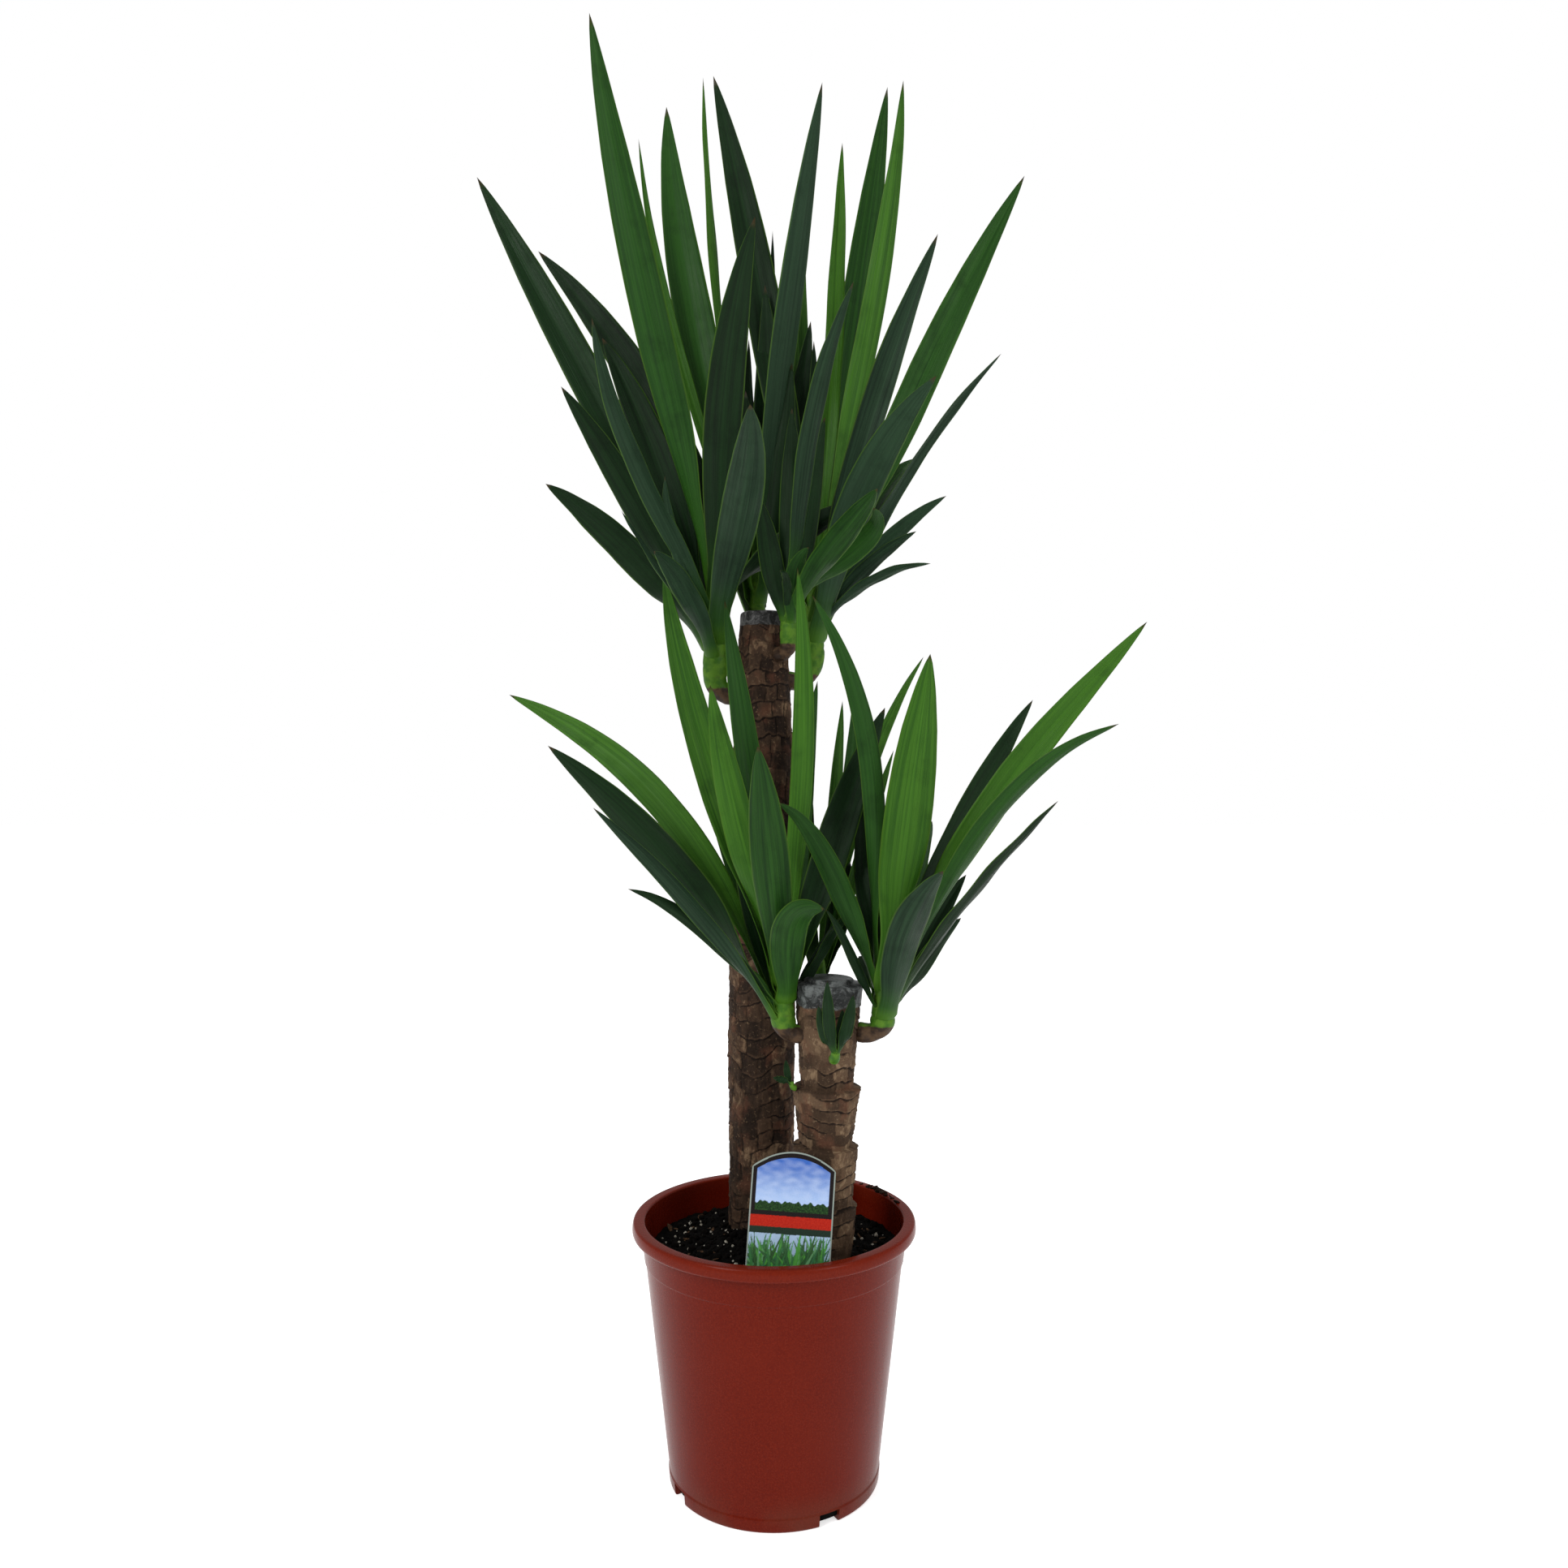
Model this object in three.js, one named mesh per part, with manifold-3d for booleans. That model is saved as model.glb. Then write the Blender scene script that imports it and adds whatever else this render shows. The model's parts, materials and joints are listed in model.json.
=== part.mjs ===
// A potted yucca: two rooted canes with cut tops, leafy shoots that sprout from their sides,
// a plastic nursery pot full of soil, and a plant label pushed into the soil.
// Millimetres, +Z up. The origin is the middle of the pot's underside.
// The front is towards -Y, and headings are degrees from +X, turning towards +Y.

import * as THREE from 'three';
import { mergeVertices } from 'three/addons/utils/BufferGeometryUtils.js';
import Module from 'manifold-3d';

const wasm = await Module();
wasm.setup();

// ---------------------------------------------------------------- driving dimensions

const touch_gap = 0.3;            // left between pieces that touch

const pot_height = 191;
const pot_rim_diameter = 211;
const pot_base_diameter = 155;
const pot_wall = 2;
const pot_floor = 2.5;
const pot_corner_bevel = 3;       // the rounded bottom edge
const lip_height = 9;
const lip_overhang = 7;           // how far the lip stands out from the wall
const lip_edge_round = 2.5;
const collar_height = 20;         // the slightly wider band under the lip
const collar_step = 0.8;
const drain_slots = 4;
const drain_width = 16;
const drain_height = 9;
const drain_depth = 12;           // how far a slot reaches in under the floor's edge
const drain_heading = -60;
const pot_sides = 48;

const soil_drop = 23;             // the soil's edge below the rim
const soil_mound = 8;             // the soil's middle above its edge
const soil_slope = [[0.75, 0.45], [0.4, 0.85]];  // shares of the soil's radius and of its mound

const tall_cane_length = 600;
const tall_cane_radius = 26.5;
const tall_cane_top_radius = 18;
const tall_cane_buried = 126;
const short_cane_length = 300;
const short_cane_radius = 22.5;
const short_cane_top_radius = 21.5;
const short_cane_buried = 98;
const cane_sides = 18;
const cane_cut_bevel = 3;

const label_width = 58;
const label_height = 87;          // from the shoulder of the stake to the top of the arch
const label_arch = 11;
const label_thickness = 0.8;
const label_wall_gap = 4.673;     // from the stake's point to the pot's wall
const label_sideways = -24;       // from the short cane's foot to the label's middle
const label_turn = 4;
const label_lean = 9;
const stake_width = 22;
const stake_length = 40;
const stake_shoulder = 0.6;       // the share of the stake that keeps its full width

const leaf_thickness = 1.8;
const leaf_rings = 9;
const leaf_base_share = 0.32;     // the width of a leaf's foot as a share of its full width
const leaf_fold = 0.16;           // how far the margins stand above the midrib, per width
const leaf_rise = 0.22;           // the share of its length for which a leaf keeps its first way
const leaf_widest = 0.5;          // the share of its length at which a leaf is widest
const leaf_fullness = 0.85;       // under 1 keeps a leaf broad towards its point
const leaf_point_share = 0.5;     // the thickness towards the point as a share of the full one
const leaf_fold_ends = 0.3;       // the share of its length over which the fold opens
const leaf_turn_from = 0.1;       // the shares of its length between which a blade turns
const leaf_turn_to = 0.45;
const splay_per_lean = 0.6;       // how far a leaf leans out at its foot, for how far it reaches
const splay_least = 0.1;
const splay_most = 0.6;
const neck_share = 0.65;          // a shoot's radius where it leaves the bark, per full radius
const neck_length = 0.35;         // the share of its length over which a shoot fills out
const crown_tip_share = 0.4;      // a shoot's radius at the top of its cone, per full radius
const stem_bends = [[0.6, 0.1], [1, 0.7], [1, 1.1]];  // shares of the reach, out and up
const bud_leafy_share = 0.5;      // the share of a bud's rise that is leafy
const bud_leaf_seat = 0.3;
const stem_steps = 9;
const stem_sides = 10;
const bud_steps = 5;
const bud_sides = 6;

// ---------------------------------------------------------------- small helpers

const vec = (x, y, z) => new THREE.Vector3(x, y, z);
const up = vec(0, 0, 1);
const radians = THREE.MathUtils.degToRad;
const mix = THREE.MathUtils.lerp;

function heading_vector(heading) {
  return vec(Math.cos(radians(heading)), Math.sin(radians(heading)), 0);
}

function plain(geometry) {
  const copy = geometry.clone();
  copy.deleteAttribute('normal');
  copy.deleteAttribute('uv');
  return mergeVertices(copy, 1e-4);
}

function to_solid(geometry) {
  const closed = plain(geometry);
  return new wasm.Manifold(new wasm.Mesh({
    numProp: 3,
    vertProperties: new Float32Array(closed.attributes.position.array),
    triVerts: new Uint32Array(closed.index.array),
  }));
}

function to_geometry(solid) {
  const mesh = solid.getMesh();
  const geometry = new THREE.BufferGeometry();
  geometry.setAttribute('position', new THREE.BufferAttribute(mesh.vertProperties, 3));
  geometry.setIndex(new THREE.BufferAttribute(mesh.triVerts, 1));
  geometry.computeVertexNormals();
  return geometry;
}

// A solid of revolution about Z from a profile of [radius, z] pairs.
function turned(profile, sides) {
  const points = profile.map(([radius, z]) => new THREE.Vector2(radius, z));
  return new THREE.LatheGeometry(points, sides).rotateX(Math.PI / 2);
}

// A closed skin over rings of equal size. It ends in a flat cap, or in a point where one is given.
function lofted(rings, point) {
  const side_count = rings[0].length;
  const corners = rings.flat();
  const faces = [];
  for (let ring = 0; ring + 1 < rings.length; ring += 1) {
    for (let side = 0; side < side_count; side += 1) {
      const here = ring * side_count + side;
      const next = ring * side_count + (side + 1) % side_count;
      const [above, beyond] = [here + side_count, next + side_count];
      if (corners[here].distanceTo(corners[beyond]) < corners[next].distanceTo(corners[above])) {
        faces.push(here, next, beyond, here, beyond, above);
      } else {
        faces.push(here, next, above, next, beyond, above);
      }
    }
  }
  const last = (rings.length - 1) * side_count;
  for (let side = 1; side + 1 < side_count; side += 1) {
    faces.push(0, side + 1, side);
    if (!point) faces.push(last, last + side, last + side + 1);
  }
  if (point) {
    corners.push(point);
    for (let side = 0; side < side_count; side += 1) {
      faces.push(last + side, last + (side + 1) % side_count, corners.length - 1);
    }
  }
  const geometry = new THREE.BufferGeometry().setFromPoints(corners);
  geometry.setIndex(faces);
  geometry.computeVertexNormals();
  return geometry;
}

// ---------------------------------------------------------------- materials

function surface(color, roughness) {
  return new THREE.MeshStandardMaterial({ color, roughness, metalness: 0 });
}

const pot_plastic = surface(0x8c3322, 0.42);
const potting_soil = surface(0x1d1510, 0.95);
const tall_bark = surface(0x4a3426, 0.85);
const short_bark = surface(0x6a4d33, 0.85);
const label_card = surface(0xb5c4b0, 0.4);
const stem_green = surface(0x9bb05a, 0.5);
const leaf_tones = {
  bright: surface(0x3f7f2c, 0.4),
  middle: surface(0x2c5c26, 0.4),
  grey: surface(0x53694e, 0.45),
  dark: surface(0x173a1c, 0.42),
};

const yucca = new THREE.Group();

function add(name, geometry, material) {
  const mesh = new THREE.Mesh(geometry, material);
  mesh.name = name;
  yucca.add(mesh);
}

// ---------------------------------------------------------------- pot

const rim_radius = pot_rim_diameter / 2;
const base_radius = pot_base_diameter / 2;
const wall_top_radius = rim_radius - lip_overhang;
const lip_bottom = pot_height - lip_height;
const collar_bottom = lip_bottom - collar_height;

// The outer face of the wall, as a straight taper from the base to the lip.
function wall_radius(z) {
  return mix(base_radius, wall_top_radius, z / lip_bottom);
}

function inner_radius(z) {
  return wall_radius(z) - collar_step - pot_wall;
}

function pot_geometry() {
  const profile = [
    [0, 0],
    [base_radius - pot_corner_bevel, 0],
    [wall_radius(pot_corner_bevel), pot_corner_bevel],
    [wall_radius(collar_bottom) - collar_step, collar_bottom],
    [wall_radius(collar_bottom), collar_bottom + collar_step],
    [wall_top_radius, lip_bottom],
    [rim_radius - lip_edge_round, lip_bottom],
    [rim_radius, lip_bottom + lip_edge_round],
    [rim_radius, pot_height - lip_edge_round],
    [rim_radius - lip_edge_round, pot_height],
    [inner_radius(lip_bottom) + lip_edge_round, pot_height],
    [inner_radius(lip_bottom), pot_height - lip_edge_round],
    [inner_radius(lip_bottom), lip_bottom],
    [inner_radius(pot_floor), pot_floor],
    [0, pot_floor],
  ];
  let pot = to_solid(turned(profile, pot_sides));
  for (let slot = 0; slot < drain_slots; slot += 1) {
    const length = 2 * drain_depth;
    const cutter = new THREE.BoxGeometry(length, drain_width, 2 * drain_height);
    cutter.translate(base_radius - drain_depth + length / 2, 0, 0);
    cutter.rotateZ(radians(drain_heading + slot * 360 / drain_slots));
    pot = pot.subtract(to_solid(cutter));
  }
  return to_geometry(pot);
}

add('pot', pot_geometry(), pot_plastic);

// ---------------------------------------------------------------- canes

const soil_edge_level = pot_height - soil_drop;
const soil_level = soil_edge_level + soil_mound / 2;      // about the level where the canes stand

// A cane stands on its foot and leans a little. Its girth swells and shrinks between knots,
// each a share of its length and what is added to its radius, and it narrows to its cut top.
const cane_knots = [[0, 1], [0.14, 0.4], [0.3, -0.4], [0.46, 0.5], [0.6, -0.3], [0.74, 0.3]];

function make_cane({ x, y, length, buried, radius, top_radius, lean_x, lean_y }) {
  const foot = vec(x, y, soil_level - buried);
  const along = vec(lean_x, lean_y, 1).normalize();
  const girth = cane_knots.map(([share, extra]) => [share * length, radius - 1 + extra]);
  girth.push([length, top_radius]);
  const radius_at = (run) => {
    const next = Math.max(1, girth.findIndex(([knot]) => knot >= run));
    const [low, low_radius] = girth[next - 1];
    const [high, high_radius] = girth[next];
    return mix(low_radius, high_radius, (run - low) / (high - low));
  };
  return { foot, along, length, girth, radius_at };
}

function cane_geometry(cane, clearance) {
  const knots = cane.girth.slice(1, -1);
  const profile = [[0, -clearance], [cane.girth[0][1] + clearance, -clearance]];
  profile.push(...knots.map(([run, radius]) => [radius + clearance, run]));
  const shoulder = cane.length - cane_cut_bevel;
  profile.push([cane.radius_at(shoulder) + clearance, shoulder]);
  profile.push([cane.radius_at(cane.length) - cane_cut_bevel + clearance, cane.length + clearance]);
  profile.push([0, cane.length + clearance]);
  const geometry = turned(profile, cane_sides);
  geometry.applyQuaternion(new THREE.Quaternion().setFromUnitVectors(up, cane.along));
  return geometry.translate(cane.foot.x, cane.foot.y, cane.foot.z);
}

const tall_cane = make_cane({
  x: -11, y: 34, lean_x: 0.004, lean_y: 0.004,
  length: tall_cane_length, buried: tall_cane_buried,
  radius: tall_cane_radius, top_radius: tall_cane_top_radius,
});
const short_cane = make_cane({
  x: 33, y: -34, lean_x: 0.035, lean_y: -0.005,
  length: short_cane_length, buried: short_cane_buried,
  radius: short_cane_radius, top_radius: short_cane_top_radius,
});

add('tall_cane', cane_geometry(tall_cane, 0), tall_bark);
add('short_cane', cane_geometry(short_cane, 0), short_bark);

// ---------------------------------------------------------------- label

// An arched card on a pointed stake, cut from one sheet. Its outline is drawn in X and Y.
function label_geometry(clearance) {
  const half = label_width / 2 + clearance;
  const stake_half = stake_width / 2 + clearance;
  const shoulder = label_height - label_arch;
  const arch_radius = (half * half + label_arch * label_arch) / (2 * label_arch);
  const arch_angle = Math.asin(half / arch_radius);
  const outline = new THREE.Shape();
  outline.moveTo(-half, shoulder);
  outline.lineTo(-half, -clearance);
  outline.lineTo(-stake_half, -clearance);
  outline.lineTo(-stake_half, -stake_shoulder * stake_length);
  outline.lineTo(0, -stake_length - 2 * clearance);
  outline.lineTo(stake_half, -stake_shoulder * stake_length);
  outline.lineTo(stake_half, -clearance);
  outline.lineTo(half, -clearance);
  outline.lineTo(half, shoulder);
  const middle = shoulder + label_arch - arch_radius;
  outline.absarc(0, middle, arch_radius, Math.PI / 2 - arch_angle, Math.PI / 2 + arch_angle);
  const depth = label_thickness + 2 * clearance;
  const card = new THREE.ExtrudeGeometry(outline, { depth, bevelEnabled: false, curveSegments: 8 });
  card.translate(0, 0, -depth / 2);
  card.rotateX(Math.PI / 2);
  card.rotateY(radians(label_turn));
  card.rotateX(radians(-label_lean));
  const point_radius = inner_radius(soil_level - stake_length) - label_wall_gap;
  const foot_y = stake_length * Math.sin(radians(label_lean)) - point_radius;
  return card.translate(short_cane.foot.x + label_sideways, foot_y, soil_level);
}

add('plant_label', label_geometry(0), label_card);

// ---------------------------------------------------------------- soil

function soil_geometry() {
  const bottom = pot_floor + touch_gap;
  const crown = soil_edge_level + soil_mound;
  const profile = [
    [0, bottom],
    [inner_radius(bottom) - touch_gap, bottom],
    [inner_radius(soil_edge_level) - touch_gap, soil_edge_level],
    ...soil_slope.map(([out, lift]) => [
      out * inner_radius(soil_edge_level), mix(soil_edge_level, crown, lift)]),
    [0, crown],
  ];
  let soil = to_solid(turned(profile, pot_sides));
  for (const cane of [tall_cane, short_cane]) {
    soil = soil.subtract(to_solid(cane_geometry(cane, touch_gap)));
  }
  return to_geometry(soil.subtract(to_solid(label_geometry(touch_gap))));
}

add('soil', soil_geometry(), potting_soil);

// ---------------------------------------------------------------- shoots

// A shoot leaves its cane level, turns upwards and ends in a cone that the leaves sit on.
// below is how far under the cane's cut it sits, reach the way out from the bark, rise the way up,
// and leafy the length of the cone.
function make_shoot({ cane, below, heading, reach, rise, radius, leafy }) {
  const height = cane.length - below;
  const outward = heading_vector(heading);
  outward.addScaledVector(cane.along, -outward.dot(cane.along)).normalize();
  const axis_point = cane.foot.clone().addScaledVector(cane.along, height);
  const start = axis_point.addScaledVector(outward, cane.radius_at(height - radius) + touch_gap);
  const place = (out, lift) => start.clone().addScaledVector(outward, out).addScaledVector(up, lift);
  const stem = new THREE.CatmullRomCurve3([
    start,
    ...stem_bends.map(([out, lift]) => place(out * reach, lift * reach)),
    place(reach, rise),
  ], false, 'centripetal');
  const crown_top = place(reach, rise);
  const crown_radius = (share) => mix(radius, crown_tip_share * radius, share);
  return { stem, outward, crown_top, leafy, crown_radius };
}

function shoot_geometry(shoot, steps, sides) {
  const rings = [];
  let side_way = up;
  for (let step = 0; step <= steps; step += 1) {
    const centre = shoot.stem.getPointAt(step / steps);
    const along = step === 0 ? shoot.outward : shoot.stem.getTangentAt(step / steps);
    side_way = side_way.clone().addScaledVector(along, -side_way.dot(along)).normalize();
    const cross_way = along.clone().cross(side_way);
    const below_top = shoot.crown_top.z - centre.z;
    const share = THREE.MathUtils.clamp(1 - below_top / shoot.leafy, 0, 1);
    const neck = mix(neck_share, 1, THREE.MathUtils.smoothstep(step / steps, 0, neck_length));
    const radius = neck * shoot.crown_radius(share);
    const ring = [];
    for (let side = 0; side < sides; side += 1) {
      const angle = 2 * Math.PI * side / sides;
      ring.push(centre.clone()
        .addScaledVector(side_way, radius * Math.cos(angle))
        .addScaledVector(cross_way, radius * Math.sin(angle)));
    }
    rings.push(ring);
  }
  return lofted(rings);
}

const shoots = {
  tall_left: make_shoot({
    cane: tall_cane, below: 64, heading: 186, reach: 15, rise: 78, radius: 10, leafy: 52 }),
  tall_back: make_shoot({
    cane: tall_cane, below: 40, heading: 100, reach: 12, rise: 82, radius: 8, leafy: 44 }),
  tall_right: make_shoot({
    cane: tall_cane, below: 52, heading: 20, reach: 20, rise: 80, radius: 9, leafy: 52 }),
  tall_front: make_shoot({
    cane: tall_cane, below: 34, heading: -52, reach: 12, rise: 52, radius: 7, leafy: 32 }),
  short_left: make_shoot({
    cane: short_cane, below: 40, heading: 190, reach: 14, rise: 50, radius: 9, leafy: 40 }),
  short_right: make_shoot({
    cane: short_cane, below: 38, heading: -5, reach: 14, rise: 48, radius: 9, leafy: 38 }),
  short_back: make_shoot({
    cane: short_cane, below: 32, heading: 105, reach: 11, rise: 50, radius: 6, leafy: 28 }),
};

for (const [name, shoot] of Object.entries(shoots)) {
  add(`shoot_${name}`, shoot_geometry(shoot, stem_steps, stem_sides), stem_green);
}

// ---------------------------------------------------------------- leaves

// How wide a leaf is along its run: a narrow foot, widest near the middle, a long point.
function leaf_outline(run) {
  if (run < leaf_widest) {
    return mix(leaf_base_share, 1, Math.sin(Math.PI / 2 * run / leaf_widest));
  }
  return Math.pow(1 - Math.pow((run - leaf_widest) / (1 - leaf_widest), 2), leaf_fullness);
}

// A leaf clasps its shoot at a share of the leafy height, leaves it upwards and outwards,
// and runs to its point. rise is the share of its length for which it keeps its first way,
// splay is how far out of the upright that first way leans,
// arch lifts its middle and sway moves its middle towards +X.
// Its blade turns about its run to face the front, give or take turn degrees.
function leaf_geometry(shoot, seat, leaf, ring_count) {
  const { tip, width, turn = 0, rise = leaf_rise, arch = 0, sway = 0 } = leaf;
  const point = shoot.crown_top.clone().add(vec(...tip));
  const outward = vec(tip[0], tip[1], 0).normalize();
  const foot = shoot.crown_top.clone().addScaledVector(up, (seat - 1) * shoot.leafy);
  const stand_off = shoot.crown_radius(seat) + touch_gap + leaf_thickness / 2;
  foot.addScaledVector(outward, stand_off);
  const length = point.distanceTo(foot);
  const lean = Math.hypot(tip[0], tip[1]) / Math.max(tip[2], 1);
  const usual_splay = THREE.MathUtils.clamp(splay_per_lean * lean, splay_least, splay_most);
  const splay = leaf.splay ?? usual_splay;
  const first_way = up.clone().addScaledVector(outward, splay).normalize();
  const first = foot.clone().addScaledVector(first_way, rise * length);
  const second = first.clone().lerp(point, 0.5).add(vec(sway, 0, arch));
  const spine = new THREE.CubicBezierCurve3(foot, first, second, point);
  let clasp = outward.clone().negate();
  const rings = [];
  for (let ring = 0; ring < ring_count; ring += 1) {
    const run = ring / ring_count;
    const centre = spine.getPointAt(run);
    const along = spine.getTangentAt(run);
    clasp = clasp.clone().addScaledVector(along, -clasp.dot(along)).normalize();
    const front = vec(0, -1, 0).addScaledVector(along, along.y).normalize();
    if (front.dot(clasp) < 0) front.negate();
    const to_front = Math.atan2(clasp.clone().cross(front).dot(along), clasp.dot(front));
    const turned_share = THREE.MathUtils.smoothstep(run, leaf_turn_from, leaf_turn_to);
    const twist = (to_front + radians(turn)) * turned_share;
    const face = clasp.clone().applyAxisAngle(along, twist);
    const across = along.clone().cross(face);
    const half = width / 2 * leaf_outline(run);
    const lift = 2 * half * leaf_fold * THREE.MathUtils.smoothstep(run, 0, leaf_fold_ends);
    const thick = leaf_thickness * mix(1, leaf_point_share, run);
    const corner = (side, height) => centre.clone()
      .addScaledVector(across, side * half).addScaledVector(face, height);
    rings.push([corner(-1, lift), corner(0, thick / 2), corner(1, lift), corner(0, -thick / 2)]);
  }
  return lofted(rings, point);
}

// Each shoot's leaves, from the lowest seat to the highest.
// tip is the place of the leaf's point from the top of its shoot.
const leaves = {
  tall_left: [
    { tone: 'grey', tip: [-34, -130, 8], width: 18, turn: 20, arch: 12 },
    { tone: 'dark', tip: [-114, -90, 63], width: 24, turn: 10, arch: 14 },
    { tone: 'grey', tip: [33, -224, 77], width: 28, turn: 10, arch: 10, sway: 15 },
    { tone: 'dark', tip: [-116, -20, 154], width: 23, sway: 8 },
    { tone: 'dark', tip: [-191, 25, 335], width: 29 },
    { tone: 'grey', tip: [-73, -145, 158], width: 16, turn: 30, sway: -24 },
    { tone: 'dark', tip: [-89, 8, 201], width: 28, sway: 12 },
    { tone: 'dark', tip: [34, -144, 225], width: 28, turn: 10, sway: -18 },
    { tone: 'dark', tip: [113, -20, 70], width: 20, turn: 20, arch: 4 },
    { tone: 'middle', tip: [-89, -55, 415], width: 28, sway: -12 },
  ],
  tall_back: [
    { tone: 'dark', tip: [-196, 100, 297], width: 32, sway: 36 },
    { tone: 'middle', tip: [-80, 75, 411], width: 33, sway: -22 },
    { tone: 'bright', tip: [-43, -5, 390], width: 16, turn: 65, sway: -6 },
    { tone: 'grey', tip: [50, -80, 343], width: 24, turn: 35 },
  ],
  tall_right: [
    { tone: 'grey', tip: [75, -180, 101], width: 27, arch: 10, sway: -22 },
    { tone: 'grey', tip: [163, 80, 207], width: 16, turn: 60, sway: -27 },
    { tone: 'middle', tip: [171, 20, 329], width: 27, sway: -10 },
    { tone: 'grey', tip: [81, -140, 210], width: 24, turn: 30, sway: -8 },
    { tone: 'bright', tip: [-6, 120, 374], width: 18, sway: -16 },
    { tone: 'middle', tip: [66, 84, 437], width: 26, sway: 2 },
    { tone: 'dark', tip: [-84, 95, 453], width: 30, sway: 8 },
    { tone: 'bright', tip: [69, -25, 380], width: 20, turn: 20, sway: 20 },
    { tone: 'bright', tip: [24, 15, 353], width: 16, turn: 20 },
  ],
  tall_front: [
    { tone: 'middle', tip: [56, -142, 38], width: 19, arch: 4, sway: 8 },
    { tone: 'middle', tip: [57, -92, 37], width: 18, arch: 4, sway: 44 },
    { tone: 'grey', tip: [43, -102, 187], width: 16, turn: 30, sway: -16 },
  ],
  short_left: [
    { tone: 'grey', tip: [-120, -100, 113], width: 12, turn: 20, arch: 8 },
    { tone: 'dark', tip: [-166, -10, 155], width: 26, rise: 0.38, splay: 0.5, arch: 6 },
    { tone: 'bright', tip: [-218, 100, 199], width: 23, rise: 0.5, splay: 0.4, arch: 4 },
    { tone: 'middle', tip: [27, -70, 46], width: 25, arch: 30, sway: -26 },
    { tone: 'dark', tip: [76, 40, 185], width: 27, sway: -8 },
    { tone: 'bright', tip: [-89, 35, 286], width: 24, sway: -16 },
    { tone: 'middle', tip: [-16, -96, 152], width: 27 },
    { tone: 'bright', tip: [-51, -18, 197], width: 23, sway: -8 },
    { tone: 'middle', tip: [-43, 26, 263], width: 19 },
    { tone: 'bright', tip: [10, -14, 280], width: 16, sway: 14 },
  ],
  short_right: [
    { tone: 'grey', tip: [29, -110, 76], width: 25, turn: 10, arch: 8, sway: -12 },
    { tone: 'dark', tip: [101, -110, 120], width: 15, turn: 50, arch: 4 },
    { tone: 'middle', tip: [155, -52, 171], width: 17, turn: 30, rise: 0.5, splay: 0.36, arch: 22 },
    { tone: 'bright', tip: [190, 2, 247], width: 23, rise: 0.46, splay: 0.36, arch: -8 },
    { tone: 'dark', tip: [132, 120, 199], width: 20, rise: 0.3, arch: 10 },
    { tone: 'middle', tip: [-75, -45, 118], width: 17, rise: 0.5, splay: 0.36, arch: 20 },
    { tone: 'bright', tip: [30, -34, 220], width: 34 },
    { tone: 'middle', tip: [-51, -14, 264], width: 16, sway: 46 },
    { tone: 'dark', tip: [-15, 38, 96], width: 16, sway: -4 },
  ],
  short_back: [
    { tone: 'bright', tip: [90, 110, 227], width: 12, turn: 20, sway: -26 },
  ],
};

for (const [name, shoot_leaves] of Object.entries(leaves)) {
  shoot_leaves.forEach((leaf, index) => {
    const seat = (index + 0.5) / shoot_leaves.length;
    const geometry = leaf_geometry(shoots[name], seat, leaf, leaf_rings);
    add(`leaf_${name}_${index + 1}`, geometry, leaf_tones[leaf.tone]);
  });
}

// ---------------------------------------------------------------- buds

// A bud is one piece: a short stem with its few small leaves grown into it.
function bud_geometry({ cane, below, heading, reach, rise, radius, tips, width }) {
  const leafy = bud_leafy_share * rise;
  const shoot = make_shoot({ cane, below, heading, reach, rise, radius, leafy });
  const heart = { ...shoot, crown_radius: () => 0 };
  let bud = to_solid(shoot_geometry(shoot, bud_steps, bud_sides));
  for (const tip of tips) {
    bud = bud.add(to_solid(leaf_geometry(heart, bud_leaf_seat, { tip, width }, bud_steps)));
  }
  return to_geometry(bud);
}

add('bud_front', bud_geometry({
  cane: short_cane, below: 54, heading: -88, reach: 7, rise: 18, radius: 4,
  tips: [[-6, -8, 38], [-10, -2, 26], [10, -6, 28]], width: 7,
}), stem_green);
add('bud_side', bud_geometry({
  cane: short_cane, below: 78, heading: 205, reach: 5, rise: 9, radius: 2.5,
  tips: [[-10, -3, 3], [-3, 3, 9]], width: 4,
}), stem_green);

export default yucca;
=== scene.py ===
"""A potted yucca: fine leaves, bark, pot, soil and label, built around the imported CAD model."""

import json
import math
import random

import bmesh
import bpy
import numpy as np
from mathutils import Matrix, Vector, noise


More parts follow.
